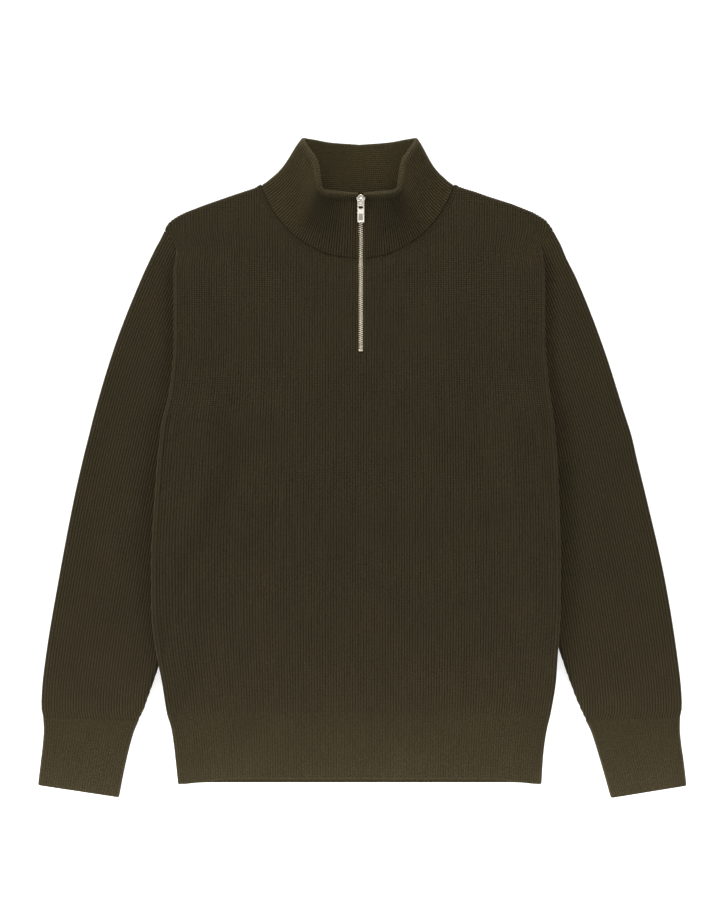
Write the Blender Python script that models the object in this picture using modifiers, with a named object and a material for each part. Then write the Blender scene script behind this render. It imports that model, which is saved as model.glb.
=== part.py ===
# Quarter zip sweater, lying flat on its back on the surface z = 0.
# X runs across the body, +Y towards the collar, +Z up out of the front.
# Each knitted piece is an open sheet through its sections, given its wall by Solidify.

import math

import bmesh
import bpy
import numpy as np
from mathutils import Matrix

MM = 0.001

# Cloth
KNIT = 2.5 * MM  # one layer of the rib knit
COLLAR_WALL = 4.4 * MM  # the collar is knitted double and folded over at its rim
AIR = 2.6 * MM  # between front and back where they lie on each other
SEAM = 0.3 * MM  # gap between neighbouring pieces
NECK_GAP = 1.2 * MM  # gap at the neck seam, where the collar leans outwards
FOLD_REACH = 4.0 * MM  # how far in from its edge a panel curls round a fold
FOLD_DROP = 1.45 * MM  # how far the panel's middle line sinks or rises in that curl
FOLD_END = 0.55 * MM  # and then straight on, down or up to the seam

# Sleeves tucked under the sides of the body
TUBE_HALF = 2.55 * MM  # half height of a sleeve's middle line
TUCK_LIFT = 8.6 * MM  # what the body rises where it lies over a sleeve
CAP_LIFT = 4.0 * MM  # what the front rises over the sleeve between shoulder and armpit
TUCK_RAMP = 70.0 * MM  # width of the slope beside the tucked sleeve
TUCK_CLEAR = 6.0 * MM  # the slope ends this far short of the sleeve's fold
LIFT_FADE = 24.0 * MM  # height over which each of those two lifts sets in
CAP_TOP_Y = 266.0 * MM
ARMPIT_Y = 46.0 * MM
UNDERARM_Y = 0.0 * MM  # above this the sleeve's inner side is open to the armhole

# Where the front rides up round the neck seam
NECK_SWELL = 0.7 * MM
NECK_MIDDLE_Y = 300.0 * MM
NECK_SWELL_INNER = 75.0 * MM
NECK_SWELL_WIDTH = 60.0 * MM

# Shape at the edges
EDGE_SETTLE = 30.0 * MM  # width beside the shoulder seam that draws in by half a wall
ARMHOLE_FADE = 8.0 * MM  # height over which the back's side fold ends in its armhole
CUFF_NARROW = 60.0 * MM  # below this width a tube gets flatter
HEM_CORNER_DROP = 1.7 * MM  # the hem band's lower corners hang below its middle
HEM_CORNER_HEIGHT = 15.0 * MM
FAR_APART = 50.0 * MM  # sections of a sleeve further apart get one more between them

# Where the centre lines stand
ZIP_X = -1.3 * MM
NECK_X = -5.0 * MM
RIM_X = -2.8 * MM

# Zip
SLIT_HALF = 3.0 * MM
SLIT_BOTTOM_Y = 130.0 * MM
CHAIN_WIDTH = 5.4 * MM
CHAIN_THICKNESS = 2.4 * MM
CHAIN_PROUD = 0.3 * MM  # chain's middle above the panel's middle
CHAIN_TOP_Y = 295.2 * MM
CHAIN_BOTTOM_Y = 131.5 * MM
TAPE_HALF = 12.0 * MM
TAPE_THICKNESS = 0.8 * MM
TAPE_TOP_Y = 309.0 * MM
TAPE_BOTTOM_Y = 122.0 * MM

# Slider and pull, lengths measured from the pull's hinge along the slider
HINGE_Y = 302.3 * MM
HINGE_ABOVE_PLATE = 1.45 * MM
SLIDER_TOP = 6.9 * MM
SLIDER_BOTTOM = -7.0 * MM
SLIDER_SHOULDER = 3.4 * MM
SLIDER_WAIST = -1.0 * MM  # the slider is narrow below this
SLIDER_WIDE = 10.4 * MM
SLIDER_NARROW = 8.2 * MM
SLIDER_CROWN = 2.4 * MM
PLATE_THICKNESS = 1.6 * MM
WEB_WIDTH = 4.4 * MM
WEB_DEPTH = 4.5 * MM
WEB_BOTTOM = -6.0 * MM
BRIDGE_TOP = 3.5 * MM
BRIDGE_BOTTOM = -6.4 * MM
BRIDGE_WIDTH = 2.8 * MM
BRIDGE_STRAP = 1.1 * MM
BRIDGE_EYE = 2.9 * MM
BRIDGE_CORNER = 1.2 * MM
EYE_CORNER = 0.5 * MM
BRIDGE_SINK = 0.6 * MM  # its feet and the web go this far into the plate
PULL_WIDTH = 7.8 * MM
PULL_TOP = 0.8 * MM
PULL_BOTTOM = -25.2 * MM
PULL_THICKNESS = 1.4 * MM
PULL_TILT = 3.5  # degrees the pull leans down from the slider
WINDOW_WIDTH = 4.2 * MM
WINDOW_TOP = -0.8 * MM
WINDOW_BOTTOM = -8.8 * MM
RECESS_TOP = -16.0 * MM
RECESS_BOTTOM = -24.0 * MM
RECESS_WIDTH = 5.2 * MM
RECESS_DEPTH = 0.5 * MM

# The outline of the body by height, in mm. left and right are the folds at its sides.
BODY = (
    ("y", "left", "right"),
    (-279.0, -222.0, 214.6),
    (-242.5, -228.5, 220.3),
    (-217.5, -234.6, 223.5),
    (-163.0, -241.9, 229.0),
    (-108.0, -243.7, 230.4),
    (-26.0, -239.1, 228.3),
    (42.5, -233.4, 222.6),
    (97.0, -221.5, 214.8),
    (145.0, -217.5, 212.3),
    (234.0, -216.3, 210.0),
    (255.0, -217.5, 210.5),
    (269.0, -224.3, 217.7),
)

# The back panel's armholes, in mm: a cut that leaves the tucked sleeve room.
ARMHOLE = (
    ("y", "left", "right"),
    (27.0, -235.0, 224.0),
    (50.0, -187.5, 183.0),
    (124.0, -192.8, 188.5),
    (202.0, -200.5, 195.5),
    (234.0, -208.5, 202.0),
    (254.0, -215.0, 207.0),
    (269.0, -224.3, 217.7),
)

# The hem band by height, in mm
HEM = (
    ("y", "left", "right"),
    (-358.0, -209.0, 204.3),
    (-334.0, -211.8, 205.6),
    (-315.5, -214.0, 207.0),
    (-297.0, -216.8, 210.3),
    (-279.3, -222.0, 214.6),
)

# Top edge of front and back over the shoulders, in mm. half is from the neck's centre line.
SHOULDER = (
    ("half", "y"),
    (111.2, 321.8),
    (201.5, 288.4),
    (214.8, 280.2),
    (221.0, 269.0),
)

# Sections of the sleeves, in mm. outer is the fold at the garment's outline. top is
# where the upper wall ends, and floor where the lower wall does. They meet where the
# sleeve is closed by its underarm seam.
SLEEVE_LEFT = (
    ("outer_y", "outer_x", "inner_y", "top_x", "floor_x"),
    (267.5, -225.3, 266.0, -223.6, -223.6),
    (258.5, -230.0, 254.5, -219.5, -219.5),
    (241.0, -239.0, 234.0, -209.5, -209.5),
    (213.5, -251.5, 202.0, -205.0, -201.5),
    (137.0, -281.5, 124.5, -205.0, -194.5),
    (59.5, -305.0, 52.0, -205.0, -189.0),
    (35.5, -311.0, 22.0, -205.0, -189.0),
    (8.0, -317.8, -14.0, -191.0, -191.0),
    (-37.5, -328.0, -61.5, -196.0, -196.0),
    (-128.5, -345.5, -149.0, -212.0, -212.0),
    (-214.0, -360.0, -226.5, -233.0, -233.0),
    (-254.0, -364.0, -262.0, -245.5, -245.5),
    (-272.0, -364.5, -279.0, -251.5, -251.5),
    (-284.5, -363.0, -288.0, -256.5, -256.5),
)
SLEEVE_RIGHT = (
    ("outer_y", "outer_x", "inner_y", "top_x", "floor_x"),
    (267.5, 218.7, 266.0, 217.0, 217.0),
    (258.5, 222.5, 254.5, 212.5, 212.5),
    (241.0, 230.5, 234.0, 203.0, 203.0),
    (213.5, 244.0, 202.0, 201.0, 196.5),
    (137.0, 274.0, 124.5, 201.0, 190.5),
    (59.5, 298.5, 52.0, 201.0, 185.0),
    (35.5, 306.0, 22.0, 201.0, 184.5),
    (8.0, 312.7, -14.0, 186.0, 186.0),
    (-37.5, 324.0, -61.5, 190.5, 190.5),
    (-128.5, 344.0, -149.0, 206.5, 206.5),
    (-214.0, 358.0, -226.5, 231.5, 231.5),
    (-254.0, 362.5, -262.0, 245.0, 245.0),
    (-272.0, 363.0, -279.0, 252.0, 252.0),
    (-284.5, 361.5, -288.0, 255.5, 255.5),
)
CUFF_LEFT = (
    ("outer_y", "outer_x", "inner_y", "inner_x"),
    (-285.0, -362.8, -288.4, -256.6),
    (-297.5, -362.0, -300.5, -261.0),
    (-315.5, -363.5, -321.0, -267.0),
    (-333.5, -365.5, -343.0, -272.5),
    (-362.0, -368.5, -375.0, -279.0),
)
CUFF_RIGHT = (
    ("outer_y", "outer_x", "inner_y", "inner_x"),
    (-285.0, 361.4, -288.4, 255.6),
    (-297.5, 361.5, -300.5, 261.5),
    (-315.5, 363.0, -321.0, 269.0),
    (-333.5, 365.5, -343.0, 275.5),
    (-362.0, 368.5, -375.0, 285.0),
)

# The collar from the zip round to the middle of the back, in mm: its seam, its rim, and
# how far the cloth between them bows in towards the neck.
COLLAR = (
    ("seam_half", "seam_y", "seam_z", "rim_half", "rim_y", "rim_z", "bow"),
    (0.0, 238.2, 8.2, 0.0, 311.8, 16.5, 0.0),
    (29.0, 242.0, 8.2, 24.0, 312.9, 17.5, 0.0),
    (53.0, 252.2, 8.4, 37.0, 313.8, 19.5, 0.0),
    (70.0, 263.2, 8.7, 42.5, 317.6, 21.5, 0.0),
    (82.5, 275.5, 9.0, 44.3, 328.9, 22.5, 0.0),
    (93.0, 288.5, 9.4, 47.0, 345.9, 21.5, 1.0),
    (102.0, 304.0, 9.4, 56.0, 361.2, 18.0, 4.5),
    (107.0, 315.0, 8.2, 61.8, 370.3, 13.5, 6.3),
    (108.4, 318.4, 5.6, 63.2, 373.3, 8.6, 6.5),
    (106.0, 317.2, 3.1, 61.8, 373.8, 4.2, 6.5),
    (96.0, 310.8, 2.2, 52.0, 371.6, 2.3, 4.5),
    (62.0, 300.8, 2.2, 33.0, 369.0, 2.2, 1.0),
    (0.0, 295.8, 2.2, 0.0, 367.0, 2.2, 0.0),
)

COLLAR_FOLD = 8  # the row of that table where the collar folds at its side

# Rows of the panels as shares of the way from the hem seam to the top edge. They close
# up at the armpit and at the top, where the last one is turned straight down or up.
LOWER_ROWS = (0.0, 0.07, 0.19, 0.31, 0.42, 0.49, 0.525, 0.545, 0.57, 0.60, 0.68)
TOP_ROWS = (0.9925, 0.9978, 1.0, 1.0)
HEM_FOLD_SHARES = (1, 0.994, 0.982)  # of the hem band's half width, round its fold
COLLAR_PLACES = (0, 1, 2, 3, 4, 5, 6, 6.5, 7, 7.5, 8, 8.5, 9, 10, 11, 12)
COLLAR_ROWS = (0.0, 0.15, 0.32, 0.5, 0.68, 0.85, 1.0)
CURL_STEPS = 2  # of a tube's wall where it curls round a fold
FLAT_POINTS = 3  # and on the flat between two folds

COLLECTION_NAME = "quarter_zip_sweater"


# Tables and curves


def column(table, name):
    return np.array([row[table[0].index(name)] for row in table[1:]], float) * MM


def smooth_through(stations, values, at):
    """A monotone cubic through (stations, values), held level beyond both ends."""
    order = np.argsort(stations)
    x = np.asarray(stations, float)[order]
    y = np.asarray(values, float)[order]
    step = np.diff(x)
    rise = np.diff(y) / step
    slope = np.empty_like(x)
    slope[0] = rise[0]
    slope[-1] = rise[-1]
    product = rise[:-1] * rise[1:]
    total = np.where(product > 0, rise[:-1] + rise[1:], 1.0)
    slope[1:-1] = np.where(product > 0, 2 * product / total, 0.0)
    t = np.clip(np.asarray(at, float), x[0], x[-1])
    i = np.clip(np.searchsorted(x, t) - 1, 0, len(step) - 1)
    s = (t - x[i]) / step[i]
    start = (1 + 2 * s) * (1 - s) ** 2 * y[i] + s * (1 - s) ** 2 * step[i] * slope[i]
    end = s**2 * (3 - 2 * s) * y[i + 1] + s**2 * (s - 1) * step[i] * slope[i + 1]
    return start + end


def along(table, name, at, by="y"):
    return smooth_through(column(table, by), column(table, name), at)


def soft_step(value):
    t = np.clip(value, 0.0, 1.0)
    return t * t * (3 - 2 * t)


def curl(distance):
    """1 on the flat of a panel and 0 at its folded edge, as a quarter of a circle."""
    t = np.clip(distance / FOLD_REACH, 0.0, 1.0)
    return np.sqrt(1 - (1 - t) ** 2)


# Heights of the layers


def body_edge(x, y, table=BODY):
    """Distance from the centre line to the body's side fold, on the side of x."""
    return np.where(x < 0, -along(table, "left", y), along(table, "right", y))


def tucked_fold(x, y, wall):
    """Distance from the centre line to where the sleeve under the body ends."""
    left = -along(SLEEVE_LEFT, wall, y, by="inner_y")
    right = along(SLEEVE_RIGHT, wall, y, by="inner_y")
    return np.where(x < 0, left, right)


def back_lift(x, y):
    inside = tucked_fold(x, y, "floor_x") - np.abs(x)
    below_armpit = soft_step((ARMPIT_Y + LIFT_FADE - y) / LIFT_FADE)
    return TUCK_LIFT * soft_step(1 - (inside - TUCK_CLEAR) / TUCK_RAMP) * below_armpit


def front_lift(x, y):
    inside = tucked_fold(x, y, "top_x") - np.abs(x)
    below_shoulder = soft_step((CAP_TOP_Y - y) / LIFT_FADE)
    over_cap = CAP_LIFT * soft_step(1 - (inside - TUCK_CLEAR) / TUCK_RAMP) * below_shoulder
    return np.maximum(over_cap, back_lift(x, y))


def neck_lift(x, y):
    away = np.hypot(x - NECK_X, y - NECK_MIDDLE_Y) - NECK_SWELL_INNER
    return NECK_SWELL * soft_step(1 - away / NECK_SWELL_WIDTH)


def back_height(x, y):
    return KNIT / 2 + back_lift(x, y)


def front_height(x, y):
    return 1.5 * KNIT + AIR + front_lift(x, y) + neck_lift(x, y)


# Sheets


def material(name, color, roughness, metallic=0.0):
    made = bpy.data.materials.new(name)
    made.use_nodes = True
    shader = made.node_tree.nodes["Principled BSDF"]
    shader.inputs["Base Color"].default_value = (*color, 1.0)
    shader.inputs["Roughness"].default_value = roughness
    shader.inputs["Metallic"].default_value = metallic
    return made


def add_object(name, mesh, collection, finish=None):
    made = bpy.data.objects.new(name, mesh)
    collection.objects.link(made)
    if finish is not None:
        mesh.materials.append(finish)
    return made


def add_sheet(name, points, wall, collection, finish, ring=False, holes=()):
    """A sheet through a grid of middle points, with its wall on both sides of them."""
    rows, columns = points.shape[:2]
    bm = bmesh.new()
    corners = [[bm.verts.new(point) for point in row] for row in points]
    for i in range(rows - 1):
        for j in range(columns if ring else columns - 1):
            if (i, j) in holes:
                continue
            k = (j + 1) % columns
            bm.faces.new((corners[i][j], corners[i][k], corners[i + 1][k], corners[i + 1][j]))
    bmesh.ops.recalc_face_normals(bm, faces=bm.faces)
    mesh = bpy.data.meshes.new(name)
    bm.to_mesh(mesh)
    bm.free()
    made = add_object(name, mesh, collection, finish)
    solid = made.modifiers.new("wall", "SOLIDIFY")
    solid.thickness = wall
    solid.offset = 0.0
    solid.use_quality_normals = True
    mesh.shade_smooth()
    return made


def neck_seam(front):
    """The collar's seam to a panel, as distances from the neck's centre and heights."""
    rows = slice(0, COLLAR_FOLD) if front else slice(None, COLLAR_FOLD, -1)
    half = column(COLLAR, "seam_half")[rows]
    y = column(COLLAR, "seam_y")[rows]
    return np.append(half, column(SHOULDER, "half")[0]), np.append(y, column(SHOULDER, "y")[0])


def top_edge(x, neck):
    """Height of a panel's top edge at x: the shoulder line, and the neck seam within it."""
    half = np.abs(x - NECK_X)
    over_shoulder = np.interp(half, column(SHOULDER, "half"), column(SHOULDER, "y"))
    in_neck = np.interp(half - NECK_GAP / 2, *neck) - NECK_GAP / 2
    return np.where(half < column(SHOULDER, "half")[0] - 0.1 * MM, in_neck, over_shoulder)


def panel_columns(side, neck, centre):
    """Where a panel's columns meet its top edge, from the centre out to the shoulder tip."""
    tip = abs(column(BODY, "left" if side < 0 else "right")[-1])
    inside = [half + side * NECK_X for half in neck[0][1:]]
    over = [share * tip + (1 - share) * inside[-1] for share in (0.15, 0.35, 0.55, 0.75, 0.88)]
    stations = [*centre, *inside, *over, tip - FOLD_REACH, tip - 0.3 * FOLD_REACH, tip, tip]
    return [side * station for station in stations]


def at_ends(count, place):
    """1 at the items that lie place steps in from both ends of a row, and 0 elsewhere."""
    marks = np.zeros(count)
    marks[[place, -1 - place]] = 1
    return marks


def panel_points(tops, rows, table, neck, height, turn):
    """Grid of a panel's middle points: columns fan from the hem seam to the top edge.
    turn is -1 where its edges curl down at the folds, and 1 where they curl up."""
    hem_y = column(BODY, "y")[0]
    x_top = np.array(tops)[None, :]
    y_top = top_edge(x_top, neck)
    y = hem_y + (y_top - hem_y) * np.array(rows)[:, None]
    tip = body_edge(x_top, column(BODY, "y")[-1])
    share = (x_top - ZIP_X) / np.where(x_top < ZIP_X, tip + ZIP_X, tip - ZIP_X)
    reach = body_edge(x_top, y, table) - KNIT / 2
    x = ZIP_X + share * np.where(x_top < ZIP_X, reach + ZIP_X, reach - ZIP_X)
    folds_above = np.abs(x_top - NECK_X) >= column(SHOULDER, "half")[0] - 0.2 * MM
    folds_beside = 1.0 if turn < 0 else soft_step((ARMPIT_Y - y) / ARMHOLE_FADE)
    to_side = reach - np.abs(x)
    to_top = np.where(folds_above, y_top - y, 1.0)
    flat = curl(to_top) * (1 - folds_beside * (1 - curl(to_side)))
    near_side = at_ends(len(tops), 1)[None, :] * (1 - folds_beside)
    x = x - np.sign(x_top) * FOLD_END * near_side
    near_top = at_ends(len(rows), 1)[:, None] * (y > 0)
    y = y - KNIT / 2 * folds_above * soft_step(1 - to_top / EDGE_SETTLE)
    y = y - FOLD_END * near_top * ~folds_above
    end = np.maximum(
        at_ends(len(tops), 0)[None, :] * folds_beside,
        at_ends(len(rows), 0)[:, None] * (y > 0) * folds_above,
    )
    z = height(x, y) + turn * (FOLD_DROP * (1 - flat) + FOLD_END * end)
    return np.stack(np.broadcast_arrays(x, y, z), axis=-1)


def build_front(collection, finish):
    neck = neck_seam(front=True)
    left = panel_columns(-1, neck, [SLIT_HALF - ZIP_X])
    right = panel_columns(1, neck, [SLIT_HALF + ZIP_X])
    bottom = column(BODY, "y")[0]
    slit_row = (SLIT_BOTTOM_Y - bottom) / (neck[1][0] - bottom)
    rows = [*LOWER_ROWS, slit_row, 0.88, 0.94, 0.97, *TOP_ROWS]
    points = panel_points(left[::-1] + right, rows, BODY, neck, front_height, -1)
    slit = {(i, len(left) - 1) for i in range(rows.index(slit_row), len(rows) - 1)}
    add_sheet("front_panel", points, KNIT, collection, finish, holes=slit)


def build_back(collection, finish):
    neck = neck_seam(front=False)
    tops = panel_columns(-1, neck, [])[::-1] + [0.0] + panel_columns(1, neck, [])
    rows = [*LOWER_ROWS, 0.79, 0.88, 0.95, *TOP_ROWS]
    below_armpit = [row for row in BODY[1:] if row[0] < 0]
    outline = (BODY[0], *below_armpit, *ARMHOLE[1:])
    points = panel_points(tops, rows, outline, neck, back_height, 1)
    add_sheet("back_panel", points, KNIT, collection, finish)


def tube_section(outer, top, floor, closed):
    """One section of a flattened tube, from the end of its upper wall over the outer
    fold to the end of its lower wall. closed is 1 where both ends curl to meet, or 0."""
    turn = np.linspace(0, math.pi / 2, CURL_STEPS + 1)
    width = float(np.hypot(*(floor - outer)))
    high = TUBE_HALF * (0.6 + 0.4 * soft_step(width / CUFF_NARROW))
    halves = []
    for end, sign in ((top, 1), (floor, -1)):
        width = float(np.hypot(*(end - outer)))
        reach = min(1.4 * high, 0.3 * width)
        last = width - closed * KNIT / 2
        rise = 3 * SEAM + (high - 3 * SEAM) * np.sin(turn)
        across = np.linspace(last - reach, KNIT / 2 + reach, FLAT_POINTS + 2)[1:-1]
        s = [last - reach * (1 - np.cos(turn)), across, KNIT / 2 + reach * (1 - np.sin(turn))]
        z = [high + closed * (rise - high), np.full(FLAT_POINTS, high), high * np.cos(turn)]
        plan = outer + (end - outer) / width * np.concatenate(s)[:, None]
        height = KNIT / 2 + high + sign * np.concatenate(z)
        halves.append(np.column_stack([plan, height]))
    upper, lower = halves
    return np.concatenate([upper, lower[-2::-1]])


def sleeve_stations(table):
    """Heights of a sleeve's sections, at the outline and at the inner end."""
    outer_y = column(table, "outer_y")
    inner_y = column(table, "inner_y")
    rows = np.arange(len(outer_y))
    extra = np.flatnonzero(-np.diff(outer_y) > FAR_APART) + 0.5
    places = np.sort(np.append(rows, extra))
    return np.interp(places, rows, outer_y), np.interp(places, rows, inner_y)


def build_sleeve(name, table, collection, finish):
    outer_y, inner_y = sleeve_stations(table)
    outer = np.column_stack([along(table, "outer_x", outer_y, by="outer_y"), outer_y])
    top = np.column_stack([along(table, "top_x", inner_y, by="inner_y"), inner_y])
    floor = np.column_stack([along(table, "floor_x", inner_y, by="inner_y"), inner_y])
    closed = (inner_y < UNDERARM_Y).astype(float)
    sections = [tube_section(*station) for station in zip(outer, top, floor, closed)]
    add_sheet(name, np.array(sections), KNIT, collection, finish)


def build_cuff(name, table, collection, finish):
    sections = []
    for outer_y, outer_x, inner_y, inner_x in zip(*[column(table, key) for key in table[0]]):
        outer = np.array([outer_x, outer_y])
        inner = np.array([inner_x, inner_y])
        sections.append(joined_ends(tube_section(outer, inner, inner, 1.0)))
    add_sheet(name, np.array(sections), KNIT, collection, finish, ring=True)


def joined_ends(section):
    """The section as a ring: its first and last points become one."""
    ring = section[:-1].copy()
    ring[0] = (section[0] + section[-1]) / 2
    return ring


def build_hem(collection, finish):
    share = np.concatenate([HEM_FOLD_SHARES, np.linspace(0.93, 0, 8)])
    share = np.concatenate([-share, share[-2::-1]])
    sections = []
    for y, left, right in zip(*[column(HEM, key) for key in HEM[0]]):
        reach = np.where(share < 0, -left, right) - KNIT / 2
        x = share * reach
        lift = back_lift(x, np.full_like(x, y))
        flat = curl(reach - np.abs(x))
        lowest = column(HEM, "y")[0]
        corner = HEM_CORNER_DROP * soft_step((np.abs(share) - 0.8) / 0.2)
        down = corner * soft_step((lowest + HEM_CORNER_HEIGHT - y) / HEM_CORNER_HEIGHT)
        middle = KNIT + AIR / 2 + lift
        half = (KNIT + AIR) / 2 * flat
        upper = np.column_stack([x, y - down, middle + half])
        lower = np.column_stack([x, y - down, middle - half])
        sections.append(np.concatenate([upper, lower[-2:0:-1]]))
    add_sheet("hem_band", np.array(sections), KNIT, collection, finish, ring=True)


# Collar


def collar_points(side, places):
    """Middle points of one side of the collar. Columns go round the neck, at places in
    the table's rows, and rows go from the seam to the rim."""
    steps = np.arange(len(COLLAR) - 1)
    values = {name: smooth_through(steps, column(COLLAR, name), places) for name in COLLAR[0]}
    beside_zip = ZIP_X + side * SLIT_HALF
    seam_half = np.maximum(values["seam_half"] - NECK_GAP / 4, 0)
    seam_x = np.where(places == 0, beside_zip, NECK_X + side * seam_half)
    rim_x = np.where(places == 0, beside_zip, RIM_X + side * values["rim_half"])
    seam_y = values["seam_y"] + NECK_GAP / 2
    share = np.array(COLLAR_ROWS)[:, None]
    bow = values["bow"] * 6.75 * share * (1 - share) ** 2
    x = seam_x + (rim_x - seam_x) * share - side * bow
    y = seam_y + (values["rim_y"] - seam_y) * share
    z = values["seam_z"] + (values["rim_z"] - values["seam_z"]) * share
    return np.stack(np.broadcast_arrays(x, y, z), axis=-1)


def collar_height_at_zip(y):
    seam_y, rim_y = column(COLLAR, "seam_y")[0], column(COLLAR, "rim_y")[0]
    seam_z, rim_z = column(COLLAR, "seam_z")[0], column(COLLAR, "rim_z")[0]
    return seam_z + (rim_z - seam_z) * np.clip((y - seam_y) / (rim_y - seam_y), 0, 1)


def zip_height(y):
    """Middle height of the cloth beside the zip, from the panel into the collar."""
    on_collar = y > column(COLLAR, "seam_y")[0]
    return np.where(on_collar, collar_height_at_zip(y), front_height(ZIP_X, y))


def build_collar(collection, finish):
    left = collar_points(-1, np.array(COLLAR_PLACES))
    right = collar_points(1, np.array(COLLAR_PLACES[-2::-1]))
    points = np.concatenate([left, right], axis=1)
    add_sheet("collar", points, COLLAR_WALL, collection, finish)


# Zip


def build_tape(collection, finish):
    seam_y = column(COLLAR, "seam_y")[0]
    below = np.linspace(TAPE_BOTTOM_Y, seam_y - 6 * MM, 6)
    above = np.linspace(seam_y + 12 * MM, TAPE_TOP_Y, 4)
    y = np.concatenate([below, [seam_y + 1 * MM], above])
    gap = SEAM + TAPE_THICKNESS / 2
    below_panel = front_height(ZIP_X, np.minimum(y, seam_y)) - KNIT / 2 - gap
    below_collar = collar_height_at_zip(y) - COLLAR_WALL / 2 - gap
    z = np.where(y > seam_y + 5 * MM, below_collar, np.minimum(below_panel, below_collar))
    x = ZIP_X + np.array([-TAPE_HALF, 0.0, TAPE_HALF])
    points = np.stack(np.broadcast_arrays(x[None, :], y[:, None], z[:, None]), axis=-1)
    add_sheet("zip_tape", points, TAPE_THICKNESS, collection, finish)


def build_chain(collection, finish):
    below = np.linspace(CHAIN_BOTTOM_Y, 228 * MM, 6)
    y = np.concatenate([below, [240 * MM, 256 * MM, 276 * MM, CHAIN_TOP_Y]])
    z = zip_height(y) + CHAIN_PROUD
    x = ZIP_X + np.array([-CHAIN_WIDTH, CHAIN_WIDTH]) / 2
    points = np.stack(np.broadcast_arrays(x[None, :], y[:, None], z[:, None]), axis=-1)
    add_sheet("zip_chain", points, CHAIN_THICKNESS, collection, finish)


def prism(name, outline, low, high, collection, finish=None, upright=False):
    """An outline in X and Y raised from low to high, or one in Y and Z when upright."""
    bm = bmesh.new()
    if upright:
        ring = [bm.verts.new((low, a, b)) for a, b in outline]
        move = (high - low, 0, 0)
    else:
        ring = [bm.verts.new((a, b, low)) for a, b in outline]
        move = (0, 0, high - low)
    face = bm.faces.new(ring)
    raised = bmesh.ops.extrude_face_region(bm, geom=[face])["geom"]
    moved = [item for item in raised if isinstance(item, bmesh.types.BMVert)]
    bmesh.ops.translate(bm, vec=move, verts=moved)
    bmesh.ops.recalc_face_normals(bm, faces=bm.faces)
    mesh = bpy.data.meshes.new(name)
    bm.to_mesh(mesh)
    bm.free()
    return add_object(name, mesh, collection, finish)


def boolean(target, other, operation):
    change = target.modifiers.new(other.name, "BOOLEAN")
    change.operation = operation
    change.object = other
    other.hide_render = True
    other.display_type = "WIRE"
    other.parent = target.parent


def box_outline(width, bottom, top):
    half = width / 2
    return [(-half, bottom), (half, bottom), (half, top), (-half, top)]


def slider_outline():
    narrow = SLIDER_NARROW / 2
    right = [(narrow, SLIDER_BOTTOM), (narrow, SLIDER_WAIST)]
    right += [(SLIDER_WIDE / 2, SLIDER_SHOULDER), (SLIDER_CROWN / 2, SLIDER_TOP)]
    return right + [(-x, y) for x, y in reversed(right)]


def bridge_outline():
    """The bridge's arch from the side, in Y and Z from the hinge."""
    foot = -HINGE_ABOVE_PLATE - BRIDGE_SINK
    eye = BRIDGE_EYE - HINGE_ABOVE_PLATE
    top = eye + BRIDGE_STRAP
    cut = BRIDGE_CORNER
    outer = [(BRIDGE_TOP, foot), (BRIDGE_TOP, top - cut), (BRIDGE_TOP - cut, top)]
    outer += [(BRIDGE_BOTTOM + cut, top), (BRIDGE_BOTTOM, top - cut), (BRIDGE_BOTTOM, foot)]
    low = BRIDGE_BOTTOM + BRIDGE_STRAP
    high = BRIDGE_TOP - BRIDGE_STRAP
    cut = EYE_CORNER
    inner = [(low, foot), (low, eye - cut), (low + cut, eye)]
    inner += [(high - cut, eye), (high, eye - cut), (high, foot)]
    return outer + inner


def build_slider(collection, cutters, seat, finish):
    """Slider in the seat's own frame, whose X axis is the pull's hinge."""
    plate_top = -HINGE_ABOVE_PLATE
    plate_low = plate_top - PLATE_THICKNESS
    web_low = plate_low - WEB_DEPTH
    web_top = plate_low + BRIDGE_SINK
    web_outline = box_outline(WEB_WIDTH, WEB_BOTTOM, SLIDER_SHOULDER)
    side = BRIDGE_WIDTH / 2
    slider = prism("zip_slider", slider_outline(), plate_low, plate_top, collection, finish)
    web = prism("slider_web", web_outline, web_low, web_top, cutters)
    bridge = prism("slider_bridge", bridge_outline(), -side, side, cutters, upright=True)
    slider.parent = seat
    for piece in (web, bridge):
        boolean(slider, piece, "UNION")


def build_pull(collection, cutters, hinge, finish):
    half = PULL_THICKNESS / 2
    outline = box_outline(PULL_WIDTH, PULL_BOTTOM, PULL_TOP)
    window_outline = box_outline(WINDOW_WIDTH, WINDOW_BOTTOM, WINDOW_TOP)
    recess_outline = box_outline(RECESS_WIDTH, RECESS_BOTTOM, RECESS_TOP)
    pull = prism("zip_pull", outline, -half, half, collection, finish)
    window = prism("pull_window", window_outline, -2 * half, 2 * half, cutters)
    recess = prism("pull_recess", recess_outline, half - RECESS_DEPTH, 2 * half, cutters)
    pull.parent = hinge
    for piece in (window, recess):
        boolean(pull, piece, "DIFFERENCE")


def build_slider_and_pull(collection, cutters, finish):
    seam_y = column(COLLAR, "seam_y")[0]
    rim_y = column(COLLAR, "rim_y")[0]
    rise = column(COLLAR, "rim_z")[0] - column(COLLAR, "seam_z")[0]
    slope = math.atan2(rise, rim_y - seam_y)
    above = COLLAR_WALL / 2 + SEAM + PLATE_THICKNESS + HINGE_ABOVE_PLATE
    height = float(zip_height(HINGE_Y)) + above / math.cos(slope)
    seat = bpy.data.objects.new("slider_seat", None)
    hinge = bpy.data.objects.new("pull_hinge", None)
    for empty, tilt in ((seat, slope), (hinge, slope + math.radians(PULL_TILT))):
        turned = Matrix.Rotation(tilt, 4, "X")
        empty.matrix_world = Matrix.Translation((ZIP_X, HINGE_Y, height)) @ turned
        collection.objects.link(empty)
    build_slider(collection, cutters, seat, finish)
    build_pull(collection, cutters, hinge, finish)


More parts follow.
